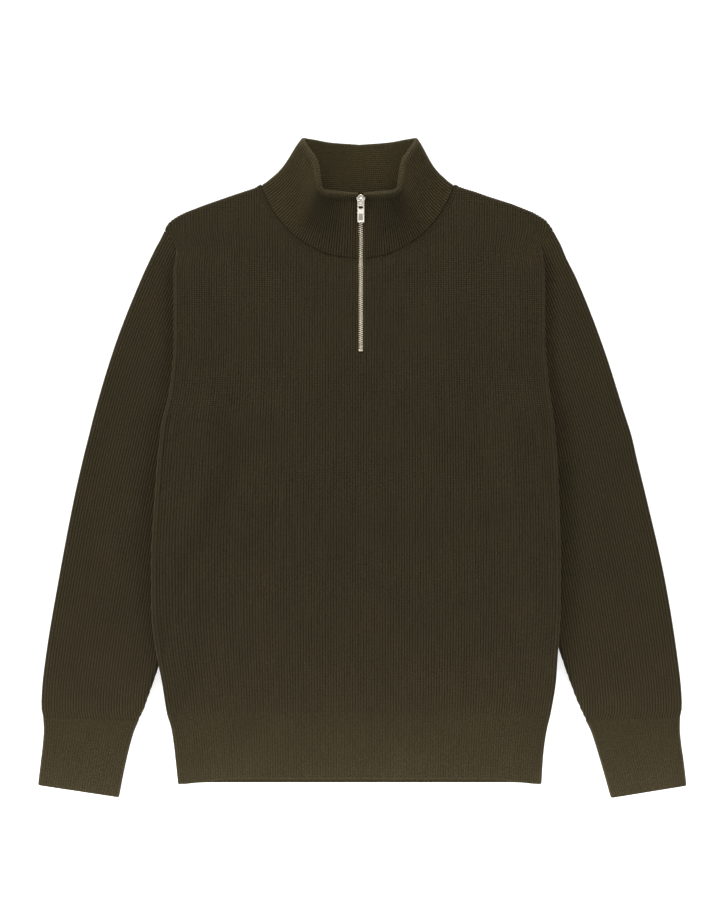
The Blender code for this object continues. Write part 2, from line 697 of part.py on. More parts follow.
def main():
    for old in list(bpy.data.objects):
        bpy.data.objects.remove(old, do_unlink=True)
    collection = bpy.data.collections.new(COLLECTION_NAME)
    cutters = bpy.data.collections.new(COLLECTION_NAME + "_cutters")
    for made in (collection, cutters):
        bpy.context.scene.collection.children.link(made)
    olive = (0.037, 0.029, 0.015)
    knit = material("rib_knit", olive, 0.95)
    band = material("rib_band", (0.05, 0.042, 0.024), 0.95)
    collar = material("collar_knit", (0.034, 0.026, 0.013), 0.95)
    tape = material("zip_tape", (0.03, 0.025, 0.014), 0.9)
    metal = material("zip_metal", (0.72, 0.68, 0.62), 0.3, 1.0)
    build_front(collection, knit)
    build_back(collection, knit)
    build_sleeve("sleeve_left", SLEEVE_LEFT, collection, knit)
    build_sleeve("sleeve_right", SLEEVE_RIGHT, collection, knit)
    build_cuff("cuff_left", CUFF_LEFT, collection, band)
    build_cuff("cuff_right", CUFF_RIGHT, collection, band)
    build_hem(collection, band)
    build_collar(collection, collar)
    build_tape(collection, tape)
    build_chain(collection, metal)
    build_slider_and_pull(collection, cutters, metal)


main()
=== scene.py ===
import math

import bpy
import numpy as np
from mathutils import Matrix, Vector


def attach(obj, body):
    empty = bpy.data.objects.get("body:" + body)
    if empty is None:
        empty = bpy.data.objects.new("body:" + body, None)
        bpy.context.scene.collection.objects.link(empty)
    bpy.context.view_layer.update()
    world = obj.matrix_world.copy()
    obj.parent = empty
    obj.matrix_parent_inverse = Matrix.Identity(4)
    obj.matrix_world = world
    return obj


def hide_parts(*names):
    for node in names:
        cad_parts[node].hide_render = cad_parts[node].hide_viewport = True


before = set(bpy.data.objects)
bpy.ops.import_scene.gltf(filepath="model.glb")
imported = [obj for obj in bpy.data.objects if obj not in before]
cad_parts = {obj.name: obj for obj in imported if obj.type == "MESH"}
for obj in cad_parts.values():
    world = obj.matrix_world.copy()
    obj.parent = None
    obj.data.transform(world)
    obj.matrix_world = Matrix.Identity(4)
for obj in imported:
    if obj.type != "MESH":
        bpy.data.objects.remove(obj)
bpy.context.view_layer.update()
mm = 0.001

# What the whole garment shares. Lengths in metres unless a table says millimetres.
knit = {
    "wall": 2.5 * mm,
    "air": 2.6 * mm,  # between front and back
    "ribPitch": 3.1 * mm,
    "ribDepth": 0.68 * mm,  # of the valley between two ribs
    "ribStations": (0.0, 0.2, 0.5, 0.8),  # where a rib has its columns of points, from valley to valley
    "wander": 0.22 * mm,  # how far a rib strays to either side
    "uneven": 0.25,  # how much the depth of a rib varies
    "course": 2.3 * mm,  # height of one row of stitches
    "foldRadius": 2.55 * mm,  # of the middle of the cloth round a side fold
    "gap": 0.3 * mm,  # between two pieces at a seam
    "rimRows": (0, 0.25, 0.7, 1.3, 2.4),  # where the rows of points lie beside an open end, in mm
    "neckSeamReach": 0.9 * mm,
    "thinEdge": 0.1,  # share of the wall that is left at a rounded edge
    "zipX": -1.3 * mm,
    "neckX": -5.0 * mm,
    "rimX": -2.8 * mm,
}
halfWall = knit["wall"] / 2


def column(table, name):
    # One named column of a table of millimetres, in metres.
    return np.array([row[table[0].index(name)] for row in table[1:]], float) * mm


def smoothThrough(stations, values, at):
    # Monotone cubic through the points: the slope at each is the harmonic mean of the slopes beside it.
    order = np.argsort(stations)
    x = np.asarray(stations, float)[order]
    y = np.asarray(values, float)[order]
    step = np.diff(x)
    rise = np.diff(y) / step
    product = rise[:-1] * rise[1:]
    total = np.where(product > 0, rise[:-1] + rise[1:], 1.0)
    slope = np.concatenate([rise[:1], np.where(product > 0, 2 * product / total, 0.0), rise[-1:]])
    t = np.clip(np.asarray(at, float), x[0], x[-1])
    i = np.clip(np.searchsorted(x, t) - 1, 0, len(step) - 1)
    s = (t - x[i]) / step[i]
    start = (1 + 2 * s) * (1 - s) ** 2 * y[i] + s * (1 - s) ** 2 * step[i] * slope[i]
    end = s ** 2 * (3 - 2 * s) * y[i + 1] + s ** 2 * (s - 1) * step[i] * slope[i + 1]
    return start + end


def along(table, name, at, by="y"):
    return smoothThrough(column(table, by), column(table, name), at)


def softStep(value):
    t = np.clip(value, 0.0, 1.0)
    return t * t * (3 - 2 * t)


def softNoise(rows, cols, cellRows, cellCols, seed):
    # Random values between -1 and 1 on a coarse grid, blended smoothly onto the fine one.
    grid = np.random.default_rng(seed).uniform(-1, 1, (cellRows + 2, cellCols + 2))
    r, c = np.linspace(0, cellRows, rows)[:, None], np.linspace(0, cellCols, cols)[None, :]
    i, j = np.floor(r).astype(int), np.floor(c).astype(int)
    a, b = softStep(r - i), softStep(c - j)
    upper = grid[i, j] * (1 - b) + grid[i, j + 1] * b
    return upper * (1 - a) + (grid[i + 1, j] * (1 - b) + grid[i + 1, j + 1] * b) * a


def stations(total, near, far, count, extra=()):
    # Distances along lines of the given lengths: the near ones at the start, count evenly
    # spaced ones with extra shares of the way among them, and the far ones mirrored at the end.
    total = np.atleast_1d(total)[None, :]
    first = np.atleast_2d(np.transpose(near)).T + 0 * total
    last = total - np.array(far)[::-1, None]
    share = np.sort(np.append(np.linspace(0, 1, count + 2)[1:-1], extra))[:, None]
    middle = first[-1:] + (last[:1] - first[-1:]) * share
    return np.concatenate([first, middle, last])


def ribPhases(count):
    # Phases of the columns of count ribs, 0 at the first valley and count at the last.
    places = np.arange(count)[:, None] + np.array(knit["ribStations"])
    return np.append(places.ravel(), count)


def groove(phase):
    # 0 on the crown of a rib and 1 in its valleys: 1 - |sin(pi phase)| ^ 0.7.
    return 1 - np.abs(np.sin(np.pi * phase)) ** 0.7


def variedGroove(phase, shape, cells, seed):
    # Grooves whose depth varies from place to place.
    return groove(phase) * (1 + knit["uneven"] * softNoise(*shape, *cells, seed))


def foldPath(distance, radius):
    # A quarter circle that starts upright at the fold and ends flat: how far in and how far down it is.
    radius = np.maximum(radius, 1e-7)
    angle = np.clip(distance / radius, 0, np.pi / 2)
    inward = radius * (1 - np.cos(angle)) + np.maximum(distance - radius * np.pi / 2, 0)
    return inward, radius * (1 - np.sin(angle))


def roundEdge(distance, reach):
    # Share of the wall that is left at this distance from an edge rounded as a half circle.
    t = np.clip(distance / reach, 0, 1)
    return np.maximum(np.sqrt(1 - (1 - t) ** 2), knit["thinEdge"])


def creases(x, y, table):
    # Each row is a soft trough from (x0, y0) to (x1, y1), minus depth times exp(-(d / width)^2),
    # fading out towards both of its ends and bowed sideways by bend. A negative depth makes a ridge.
    total = np.zeros(np.broadcast(x, y).shape)
    for x0, y0, x1, y1, width, depth, bend in np.array(table[1:], float) * mm:
        length = math.hypot(x1 - x0, y1 - y0)
        ux, uy = (x1 - x0) / length, (y1 - y0) / length
        t = ((x - x0) * ux + (y - y0) * uy) / length
        off = (x - x0) * uy - (y - y0) * ux - bend * 4 * t * (1 - t)
        fade = softStep(t / 0.35) * softStep((1 - t) / 0.35)
        total -= depth * fade * np.exp(-(off / width) ** 2)
    return total


def unit(vectors):
    return vectors / np.maximum(np.linalg.norm(vectors, axis=-1, keepdims=True), 1e-12)


def gridFaces(ids):
    # The four corners of each cell of a grid.
    return np.stack([ids[:-1, :-1], ids[:-1, 1:], ids[1:, 1:], ids[1:, :-1]], -1).reshape(-1, 4)


def edgesOf(faces):
    # Both ends of each side of each face.
    return np.concatenate([np.stack([f, np.roll(f, -1, 1)], -1).reshape(-1, 2) for f in faces])


def gridNormals(points, ring=False):
    # Cross product of the directions along the rows and along the columns.
    if ring:
        across = np.roll(points, -1, 1) - np.roll(points, 1, 1)
    else:
        across = np.gradient(points, axis=1)
    return unit(np.cross(across, np.gradient(points, axis=0)))


def ringNormals(points):
    # Normals of a tube whose last column repeats its first.
    ringed = gridNormals(points[:, :-1], ring=True)
    return np.concatenate([ringed, ringed[:, :1]], 1)


def ringIds(rows, cols):
    # Numbers of a tube's corners, the last column's being those of the first.
    ids = np.arange(rows * cols).reshape(rows, cols)
    ids[:, -1] = ids[:, 0]
    return ids


def shellData(middle, normals, above, below, uv, vertexOf=None, keep=None, grooves=(0, 0)):
    # Closed wall round a grid of middle points: one skin at middle + normal * above, one at
    # middle - normal * below, and a rim between them along every open edge.
    # vertexOf merges corners of the grid, and keep leaves out faces, as in a slit. grooves
    # says for each skin how deep in a valley its points are, for the colour there: painted shade in the
    # valleys, and on the collar also painted light and shade.
    rows, cols = middle.shape[:2]
    n = rows * cols
    corners = gridFaces(np.arange(n).reshape(rows, cols))
    if keep is not None:
        corners = corners[keep.ravel()]
    merged = np.arange(n) if vertexOf is None else vertexOf.ravel()
    verts = merged[corners]
    same = verts == np.roll(verts, -1, 1)
    quads, triangles = ~same.any(1), same.sum(1) == 1
    order = (np.argmax(same[triangles], 1)[:, None] + np.array([1, 2, 3])) % 4
    faces = [verts[quads], np.take_along_axis(verts[triangles], order, 1)]
    uvIds = [corners[quads], np.take_along_axis(corners[triangles], order, 1)]
    edges, uvEdges = edgesOf(faces), edgesOf(uvIds)
    keys = np.sort(edges, 1) @ np.array([n, 1])
    _, first, count = np.unique(keys, return_index=True, return_counts=True)
    free, freeUv = edges[first[count == 1]], uvEdges[first[count == 1]]
    rim = np.concatenate([free[:, ::-1], free + n], 1)
    rimUv = np.concatenate([freeUv[:, ::-1], freeUv], 1)
    skins = [
        middle + normals * np.broadcast_to(above, (rows, cols))[..., None],
        middle - normals * np.broadcast_to(below, (rows, cols))[..., None],
    ]
    points = np.concatenate([skin.reshape(-1, 3) for skin in skins])
    allFaces = faces + [f[:, ::-1] + n for f in faces] + [rim]
    allUv = uvIds + [f[:, ::-1] for f in uvIds] + [rimUv]
    used = np.unique(np.concatenate([f.ravel() for f in allFaces]))
    renumber = np.zeros(2 * n, int)
    renumber[used] = np.arange(len(used))
    depth = np.concatenate([np.broadcast_to(g, (rows, cols)).ravel() for g in grooves])
    uvOfFaces = [uv.reshape(-1, 2)[f] for f in allUv]
    return points[used], [renumber[f] for f in allFaces], uvOfFaces, depth[used]


def newObject(name, data):
    made = bpy.data.objects.new(name, data)
    bpy.context.scene.collection.objects.link(made)
    return made


def meshPiece(name, parts, material):
    # One object from parts that each hold points, arrays of faces, the uv of their corners and
    # the depth of each point in its groove, which its material paints as shade in the valleys and, below 0,
    # as a highlight.
    starts = np.cumsum([0] + [len(part[0]) for part in parts])
    points = np.concatenate([part[0] for part in parts])
    faces = [face for start, part in zip(starts, parts) for f in part[1] for face in (f + start).tolist()]
    uv = np.concatenate([f.reshape(-1, 2) for part in parts for f in part[2]])
    mesh = bpy.data.meshes.new(name)
    mesh.from_pydata(points.tolist(), [], faces)
    depth = np.concatenate([part[3] for part in parts]).astype(np.float32)
    mesh.attributes.new("groove", "FLOAT", "POINT").data.foreach_set("value", depth)
    mesh.uv_layers.new(name="knitUv").data.foreach_set("uv", uv.astype(np.float32).ravel())
    mesh.polygons.foreach_set("use_smooth", np.ones(len(faces), bool))
    mesh.materials.append(material)
    mesh.update()
    return newObject(name, mesh)


def ribbedShell(name, middle, normals, edge, outside, inside, uv, material, **options):
    # Shell whose skins are cut by their grooves, outside and inside, as deep as ribs are.
    cut = knit["ribDepth"]
    above = edge * (halfWall - cut * outside)
    below = edge * (halfWall - cut * inside)
    data = shellData(middle, normals, above, below, uv, grooves=(outside, inside), **options)
    return meshPiece(name, [data], material)


def finishPiece(piece, body, slot, *nodes):
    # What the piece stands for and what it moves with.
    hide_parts(*nodes)
    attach(piece, body)
    faces = sum(len(polygon.vertices) - 2 for polygon in piece.data.polygons)
    print("made", piece.name, faces, "triangles")
    return piece


def node(tree, kind, inputs=None, **settings):
    made = tree.nodes.new(kind)
    for key, value in settings.items():
        setattr(made, key, value)
    for key, value in (inputs or {}).items():
        if isinstance(value, bpy.types.NodeSocket):
            tree.links.new(value, made.inputs[key])
        else:
            made.inputs[key].default_value = value
    return made


def sums(tree, operation, first, second=0.0, third=0.0):
    return node(tree, "ShaderNodeMath", {0: first, 1: second, 2: third}, operation=operation).outputs[0]


def noise(tree, place, scale, detail=2.0):
    values = {"Vector": place, "Scale": scale, "Detail": detail}
    return node(tree, "ShaderNodeTexNoise", values).outputs["Fac"]


def mapped(tree, value, start, end, high=1.0, **settings):
    # From 0 where the value is start to high where it is end.
    return node(tree, "ShaderNodeMapRange", {0: value, 1: start, 2: end, 4: high}, **settings).outputs[0]


def newMaterial(name, values):
    # A material with these values in its shader, and its node tree and shader.
    made = bpy.data.materials.new(name)
    made.use_nodes = True
    shader = made.node_tree.nodes["Principled BSDF"]
    for key, value in values.items():
        shader.inputs[key].default_value = value
    return made, made.node_tree, shader


def uvParts(tree):
    # The u and v of the knit.
    uv = node(tree, "ShaderNodeUVMap", uv_map="knitUv").outputs[0]
    return node(tree, "ShaderNodeSeparateXYZ", {0: uv}).outputs


def addBump(tree, shader, height, strength, distance):
    values = {"Height": height, "Strength": strength, "Distance": distance}
    tree.links.new(node(tree, "ShaderNodeBump", values).outputs[0], shader.inputs["Normal"])


yarn = {
    "crown": (0.0297, 0.0226, 0.0080, 1),  # colour on the crown of a rib
    # valley: the crown's colour darkened, painted shade in the valleys between ribs
    "valley": (0.0148, 0.0100, 0.0036, 1),
    "specks": 0.9,  # how much the colour varies within a stitch
    "speckScale": 420.0,
    "mottle": 0.16,  # how much it varies in soft patches
    "patchScale": 22.0,
    "paintedHighlight": 0.34,  # painted highlight: how much lighter the cloth is painted where its depth is -1, as along the collar's roll
    "stitchLean": 1.1,  # rows that the legs of a stitch's V climb in the width of a rib
    "stitchShade": 0.07,
    "stitchBump": 0.28 * mm,
    "fuzz": 0.10 * mm,
    "hairScale": 1900.0,
    "shader": {
        "Roughness": 0.95,
        "Specular IOR Level": 0.2,
        "Sheen Weight": 0.12,
        "Sheen Roughness": 0.45,
        "Sheen Tint": (0.75, 0.66, 0.46, 1),
    },
}


def knitMaterial(name, lighter=1.0, valley=yarn["valley"], specks=yarn["specks"]):
    # u counts ribs and v counts rows of stitches. Each row is a V across its rib:
    # the sine of 2 pi (v + lean |u - 1/2|).
    made, tree, shader = newMaterial(name, yarn["shader"])
    parts = uvParts(tree)
    phase = sums(tree, "FRACT", parts[0])
    off = sums(tree, "ABSOLUTE", sums(tree, "SUBTRACT", phase, 0.5))
    leg = sums(tree, "MULTIPLY_ADD", off, yarn["stitchLean"], parts[1])
    stitch = sums(tree, "SINE", sums(tree, "MULTIPLY", leg, 2 * math.pi))
    depth = node(tree, "ShaderNodeAttribute", attribute_name="groove").outputs["Fac"]
    crown = mapped(tree, depth, 0.8, 0.1, interpolation_type="SMOOTHSTEP")
    place = node(tree, "ShaderNodeTexCoord").outputs["Object"]
    patches = noise(tree, place, yarn["patchScale"], 3.0)
    grain = noise(tree, place, yarn["speckScale"])
    hairs = noise(tree, place, yarn["hairScale"])
    # the colour runs from the crown's to the valley's with the depth: painted shade in the rib valleys
    base = node(tree, "ShaderNodeMix", {0: crown, 6: valley, 7: yarn["crown"]}, data_type="RGBA").outputs[2]
    shade = sums(tree, "MULTIPLY_ADD", sums(tree, "SUBTRACT", patches, 0.5), 2 * yarn["mottle"], lighter)
    shade = sums(tree, "MULTIPLY_ADD", sums(tree, "SUBTRACT", grain, 0.5), specks, shade)
    shade = sums(tree, "MULTIPLY_ADD", stitch, yarn["stitchShade"], shade)
    # painted highlight where the depth goes below 0, as along the collar's roll
    shade = sums(tree, "ADD", shade, mapped(tree, depth, 0.0, -1.0, yarn["paintedHighlight"]))
    colour = node(tree, "ShaderNodeVectorMath", {0: base, 1: shade}, operation="MULTIPLY").outputs[0]
    tree.links.new(colour, shader.inputs["Base Color"])
    relief = sums(tree, "MULTIPLY", sums(tree, "MULTIPLY", stitch, crown), yarn["stitchBump"])
    relief = sums(tree, "MULTIPLY_ADD", hairs, yarn["fuzz"], relief)
    addBump(tree, shader, relief, 0.8, 1.0)
    return made


def metalMaterial(name, colour, roughness, scratch):
    # Plated metal with fine brushed lines along Y, which stray into its roughness too.
    made, tree, shader = newMaterial(name, {"Base Color": colour, "Metallic": 1.0})
    place = node(tree, "ShaderNodeTexCoord").outputs["Object"]
    finer = {"Vector": place, "Scale": (9000.0, 700.0, 9000.0)}
    lines = noise(tree, node(tree, "ShaderNodeMapping", finer).outputs[0], 1.0)
    rough = sums(tree, "MULTIPLY_ADD", lines, 0.16, roughness - 0.08)
    addBump(tree, shader, lines, 1.0, scratch)
    tree.links.new(rough, shader.inputs["Roughness"])
    return made


def tapeMaterial(name, colour):
    # Fine woven tape: a twill of diagonal lines, the sine of 2 pi (u + v).
    made, tree, shader = newMaterial(name, {"Roughness": 0.85})
    parts = uvParts(tree)
    twill = sums(tree, "SINE", sums(tree, "MULTIPLY", sums(tree, "ADD", parts[0], parts[1]), 2 * math.pi))
    shade = sums(tree, "MULTIPLY_ADD", twill, 0.2, 1.0)
    shaded = node(tree, "ShaderNodeVectorMath", {0: colour, 1: shade}, operation="MULTIPLY").outputs[0]
    tree.links.new(shaded, shader.inputs["Base Color"])
    addBump(tree, shader, twill, 0.5, 0.1 * mm)
    return made


bodyKnit = knitMaterial("bodyKnit")
# the sleeves: the body's yarn painted 11% lighter as painted light, with darker valleys as painted shade
sleeveKnit = knitMaterial("sleeveKnit", lighter=1.11, valley=(0.0118, 0.0079, 0.0028, 1))
# the hem and cuff bands: their valley colour is painted shade too, lighter than the body's
bandKnit = knitMaterial("bandKnit", lighter=0.98, valley=(0.0225, 0.0164, 0.0059, 1), specks=1.25)
# the collar: the yarn painted 12% lighter as painted light, with darker valleys as painted shade
collarKnit = knitMaterial("collarKnit", lighter=1.12, valley=(0.0100, 0.0067, 0.0024, 1))
nickel = metalMaterial("nickelPlate", (0.82, 0.76, 0.67, 1), roughness=0.24, scratch=0.01 * mm)
toothMetal = metalMaterial("toothNickel", (0.95, 0.84, 0.64, 1), roughness=0.30, scratch=0.01 * mm)
tapeCloth = tapeMaterial("tapeCloth", (0.018, 0.0145, 0.009))
print("made materials")

body = {
    # In millimetres: side folds of the body, from the bottom of the hem band to the shoulder tips
    "sides": (
        ("y", "left", "right"),
        (-358, -210.1, 204.9),
        (-334, -212.6, 206.3),
        (-315.5, -214.6, 208.2),
        (-297, -217.4, 211.2),
        (-279.3, -222.5, 215.4),
        (-242.5, -228.1, 221),
        (-217.5, -233.1, 222.6),
        (-163, -239.4, 225.8),
        (-108, -239.9, 226.1),
        (-26, -235.4, 223.9),
        (42.5, -229.1, 219.6),
        (97, -218.2, 212.6),
        (145, -214.7, 209),
        (225, -214.9, 208.4),
        (236, -213.5, 207.2),
        (246.5, -210.5, 203.8),
        (254, -214.8, 207.4),
        (262, -219.6, 213),
        (269, -224.3, 217.3),
    ),
    # The back's armholes, cut away under the sleeves
    "armhole": (
        ("y", "left", "right"),
        (27, -230.6, 220.6),
        (50, -187.5, 183),
        (124, -192.8, 188.5),
        (202, -200.5, 195.5),
        (234, -207, 201),
        (254, -212.5, 205.5),
        (269, -223.8, 217.2),
    ),
    "shoulder": (
        ("y", "left", "right"),
        (321.9, -115.2, 105.6),
        (318.3, -122.8, 115.4),
        (313.8, -136.5, 130.2),
        (309.2, -150.2, 142.8),
        (300.1, -176.4, 171.3),
        (291, -200.4, 194.1),
        (286.4, -209.5, 202.1),
        (281.9, -216.3, 208.9),
        (277.3, -220.9, 212.3),
        (272.7, -223.2, 215.7),
        (269, -224.3, 217.3),
    ),
    "hemSeamY": -279.15 * mm,
    "armpitY": 46 * mm,
    "capTopY": 252 * mm,  # below this the body rides up over the sleeve
    "liftFade": 24 * mm,
    "frontFade": 75 * mm,  # the front rises over a tucked sleeve more slowly than the back
    "tuckLift": 8.6 * mm,
    "capLift": 4.0 * mm,
    "tuckRamp": 46 * mm,
    "tuckClear": 6 * mm,
    "halfArc": 226 * mm,  # ribs keep their pitch in this half width and fan out beyond it
    "ribsPerSide": 73,
    "slitHalf": 3.1 * mm,  # the zip takes the place of two ribs
    "slitBottomY": 130.5 * mm,
    "frontRows": 50,
    "backRows": 40,
    # rows of points below the neck and shoulder seams, then round the end of the slit, in mm
    "topRows": (0, 0.25, 0.6, 1.0, 1.5, 2.0, 2.5, 3.0, 3.5, 4.0, 4.5, 5.0, 5.5, 6.0, 6.5, 7.1, 8.0, 10.0),
    "slitEndRows": (-2.0, -0.8, -0.05, 0.4, 1.0, 2.2),
    "frontFoldTop": 246 * mm,  # the side folds end here
    "backFoldTop": 40 * mm,
    "foldFade": 14 * mm,
    "straightTopY": 225 * mm,  # the ribs fan out no further above this
    "shoulderFrom": 110.2 * mm,
    "neckRidges": 3,  # grooves along the neck seam
    "neckRidgePitch": 2.3 * mm,
    "neckMiddleY": 300 * mm,
    "neckSwell": 0.7 * mm,  # how much the cloth rises round the neck
    "neckSwellInner": 75 * mm,
    "neckSwellWidth": 60 * mm,
    "foldRidge": 1.0 * mm,  # height of the ridge where the front folds over a sleeve
    "foldRidgeIn": 4.0 * mm,
    "foldRidgeWidth": 3 * mm,
    "foldRidgeY": (-260 * mm, 238 * mm),
    "creaseEndY": -300 * mm,
    "creaseFade": 80 * mm,
    "creases": (
        ("x0", "y0", "x1", "y1", "width", "depth", "bend"),
        (-104, 70, -238, -300, 16, 2.5, 20),
        (-128, 70, -262, -300, 13, -1.8, 20),
        (-80, 40, -160, -200, 30, -0.9, 10),
        (112, 90, 196, -210, 20, 1, 0),
        (-150, 260, -60, 190, 22, 0.7, 0),
        (130, 262, 60, 170, 24, 0.7, 0),
        (-30, 120, -10, -230, 40, -0.5, 0),
        (60, 40, 80, -240, 34, 0.5, 0),
        (-190, 215, -178, 60, 16, 0.7, 0),
        (188, 210, 176, 60, 16, 0.6, 0),
    ),
}


def sideReach(side, y, table):
    # Distance from the zip's line to the outside of the fold on that side.
    left = knit["zipX"] - along(table, "left", y)
    right = along(table, "right", y) - knit["zipX"]
    return np.where(side < 0, left, right)


def tuckedFold(x, y, wall):
    # Distance from x = 0 to the inner end of the sleeve under the body.
    left = -along(sleeves["left"], wall, y, by="innerY")
    right = along(sleeves["right"], wall, y, by="innerY")
    return np.where(x < 0, left, right)


def backLift(x, y, fade=body["liftFade"]):
    # The body rises over a tucked sleeve in soft steps, outwards and upwards.
    inside = tuckedFold(x, y, "floorX") - np.abs(x)
    below = softStep((body["armpitY"] + fade - y) / fade)
    return body["tuckLift"] * softStep(1 - (inside - body["tuckClear"]) / body["tuckRamp"]) * below


def frontLift(x, y):
    # The front rises as the back does, and above it over the top of each sleeve.
    inside = tuckedFold(x, y, "topX") - np.abs(x)
    below = softStep((body["capTopY"] - y) / body["liftFade"])
    cap = body["capLift"] * softStep(1 - (inside - body["tuckClear"]) / body["tuckRamp"]) * below
    return np.maximum(cap, backLift(x, y, body["frontFade"]))


def neckLift(x, y):
    # A soft step up towards the neck, over a ring round its middle.
    away = np.hypot(x - knit["neckX"], y - body["neckMiddleY"]) - body["neckSwellInner"]
    return body["neckSwell"] * softStep(1 - away / body["neckSwellWidth"])


def backHeight(x, y):
    return halfWall + backLift(x, y)


def frontHeight(x, y):
    # Middle of the front: one and a half walls and the air, what it rises, and its creases.
    flat = 1.5 * knit["wall"] + knit["air"] + frontLift(x, y) + neckLift(x, y)
    settled = softStep((y - body["creaseEndY"]) / body["creaseFade"])
    return flat + creases(x, y, body["creases"]) * settled


def neckCurve(front):
    # The neck seam of front or back, as closely spaced distances from its centre and heights.
    rows = np.arange(len(collar["places"]) - 1)
    fold = collar["foldPlace"]
    place = np.linspace(0, fold, 400) if front else np.linspace(len(rows) - 1, fold, 400)
    half = smoothThrough(rows, column(collar["places"], "seamHalf"), place)
    y = smoothThrough(rows, column(collar["places"], "seamY"), place)
    return half, y


def topEdge(x, neck):
    # Height of a panel's top edge at x: the neck seam, then the shoulder line.
    away = 0.45 * knit["gap"]
    y = np.append(neck[1] - away, column(body["shoulder"], "y"))
    heights = []
    for side, key in ((-1, "left"), (1, "right")):
        shoulder = side * (column(body["shoulder"], key) - knit["neckX"])
        heights.append(np.interp(side * (x - knit["neckX"]), np.append(neck[0] + away, shoulder), y))
    return np.where(x < knit["neckX"], *heights)


def distanceToNeck(x, y, neck):
    # Shortest distance to the neck seam, over its closely spaced points.
    fromMiddle, up = x[..., None] - knit["neckX"], y[..., None] - neck[1]
    away = [np.hypot(fromMiddle - side * neck[0], up).min(-1) for side in (-1, 1)]
    return np.minimum(*away)


def panelGrid(rowsFar, front):
    # Middle points of a panel. Its ribs follow shares s from -1 at the left side to 1 at the
    # right: arc = halfArc s + (slow - halfArc) s^2.5 + tip s^5 from the zip's line.
    phases = ribPhases(body["ribsPerSide"])
    phase = np.concatenate([-phases[:0:-1], phases])
    share = phase / body["ribsPerSide"]
    neck = neckCurve(front)
    table = body["sides"] if front else body["sides"][:11] + body["armhole"][1:]
    foldTop = body["frontFoldTop" if front else "backFoldTop"]
    side = np.where(share < 0, -1.0, 1.0)
    s = np.abs(share)
    radius = knit["foldRadius"]

    def across(y):
        fold = softStep((foldTop - y) / body["foldFade"])
        curled = radius * fold
        reach = sideReach(side, y, table) - halfWall * fold - knit["gap"] / 2 * (1 - fold)
        slow = sideReach(side, np.minimum(y, body["straightTopY"]), table) - halfWall
        curve = curled * (np.pi / 2 - 1)
        arc = body["halfArc"] * s + (slow + curve - body["halfArc"]) * s ** 2.5 + (reach - slow) * s ** 5
        toSide = np.maximum(reach + curve - arc, 0)
        inward, drop = foldPath(toSide, curled)
        return side * (reach - inward), drop, toSide

    # the top of each rib, where it meets the neck seam or the shoulder line
    yTop = np.full(share.shape, column(body["sides"], "y")[-1])
    for _ in range(12):
        yTop = topEdge(knit["zipX"] + across(yTop)[0], neck)
    xTop = knit["zipX"] + across(yTop)[0]
    onShoulder = softStep((np.abs(xTop - knit["neckX"]) - body["shoulderFrom"]) / (5 * mm))
    curled = radius * onShoulder
    length = yTop - halfWall * onShoulder - body["hemSeamY"] + curled * (np.pi / 2 - 1)
    steep = np.abs(np.gradient(yTop, xTop)) * (1 - onShoulder)
    steep = np.convolve(np.pad(np.hypot(1, steep), 12, mode="edge"), np.ones(25) / 25, "valid")
    # rows of points from the top down: close together at the neck ridges and at the slit's end
    near = np.array(body["topRows"]) * mm
    toSlitEnd = neck[1][0] - body["slitBottomY"] + np.array(body["slitEndRows"]) * mm - near[-1]
    extra = toSlitEnd / (length[len(share) // 2] - near[-1] - rowsFar[-1]) if front else []
    rowCount = body["frontRows" if front else "backRows"]
    toTop = stations(length, near[:, None] * steep, rowsFar, rowCount, extra)[::-1]
    inward, topDrop = foldPath(toTop, curled)
    y = yTop - halfWall * onShoulder - inward
    x, sideDrop, toSide = across(y)
    calm = softStep((length - toTop) / (8 * mm)) * softStep(toTop / (20 * mm)) * softStep(toSide / (8 * mm))
    if front:
        calm = calm * softStep((np.abs(x) - 6 * mm) / (6 * mm))
    stray = softNoise(*x.shape, 30, 100, 3 if front else 4) * knit["wander"] * calm
    x = x + stray + knit["zipX"]
    if front:
        z = frontHeight(x, y) - np.maximum(sideDrop, topDrop)
    else:
        z = backHeight(x, y) + np.maximum(sideDrop, topDrop)
    atSeam = np.where(onShoulder > 0.5, 1.0, distanceToNeck(x, y, neck))
    toFold = np.where(onShoulder > 0.02, toTop, 1.0)
    return np.stack([x, y, z], -1), phase, toSide, toFold, length - toTop, atSeam


def ribUv(phase, distance):
    # u counts ribs and v counts rows of stitches.
    phase, rows = np.broadcast_arrays(phase, distance / knit["course"])
    return np.stack([phase, rows], -1)


def flipped(*grids):
    # The same grids with their rows the other way round, for a piece on the right.
    return [grid[::-1] for grid in grids]


def thinAtHem(distance):
    # Share of the wall beside the seam of the hem band.
    return 1 - 0.18 * np.exp(-(distance / (0.9 * mm)) ** 2)


def seamShare(distance, left=0.72):
    # Share of the wall beside the neck seam, rounded over its reach: the given part is left at the edge.
    t = np.clip(distance / knit["neckSeamReach"], 0, 1)
    return left + (1 - left) * np.sqrt(1 - (1 - t) ** 2)


def besideFold(x, y):
    # The front's edge stands up where it folds over a sleeve: a ridge exp(-(d / width)^2) along it.
    toLeft = x - along(body["sides"], "left", y)
    toRight = along(body["sides"], "right", y) - x
    inside = np.where(x < knit["zipX"], toLeft, toRight)
    low, high = body["foldRidgeY"]
    down = softStep((high - y) / (60 * mm)) * softStep((y - low) / (60 * mm))
    away = (inside - body["foldRidgeIn"]) / body["foldRidgeWidth"]
    return body["foldRidge"] * down * np.exp(-away ** 2)


def neckRidges(atSeam):
    # Grooves along the neck seam, ((1 - cos(2 pi d / pitch)) / 2) squared up to the last of them,
    # and a share that says where they are.
    pitch = body["neckRidgePitch"]
    inside = softStep(((body["neckRidges"] + 0.2) * pitch - atSeam) / (0.4 * pitch))
    return inside, (0.5 - 0.5 * np.cos(2 * np.pi * (atSeam + 0.1 * mm) / pitch)) ** 2


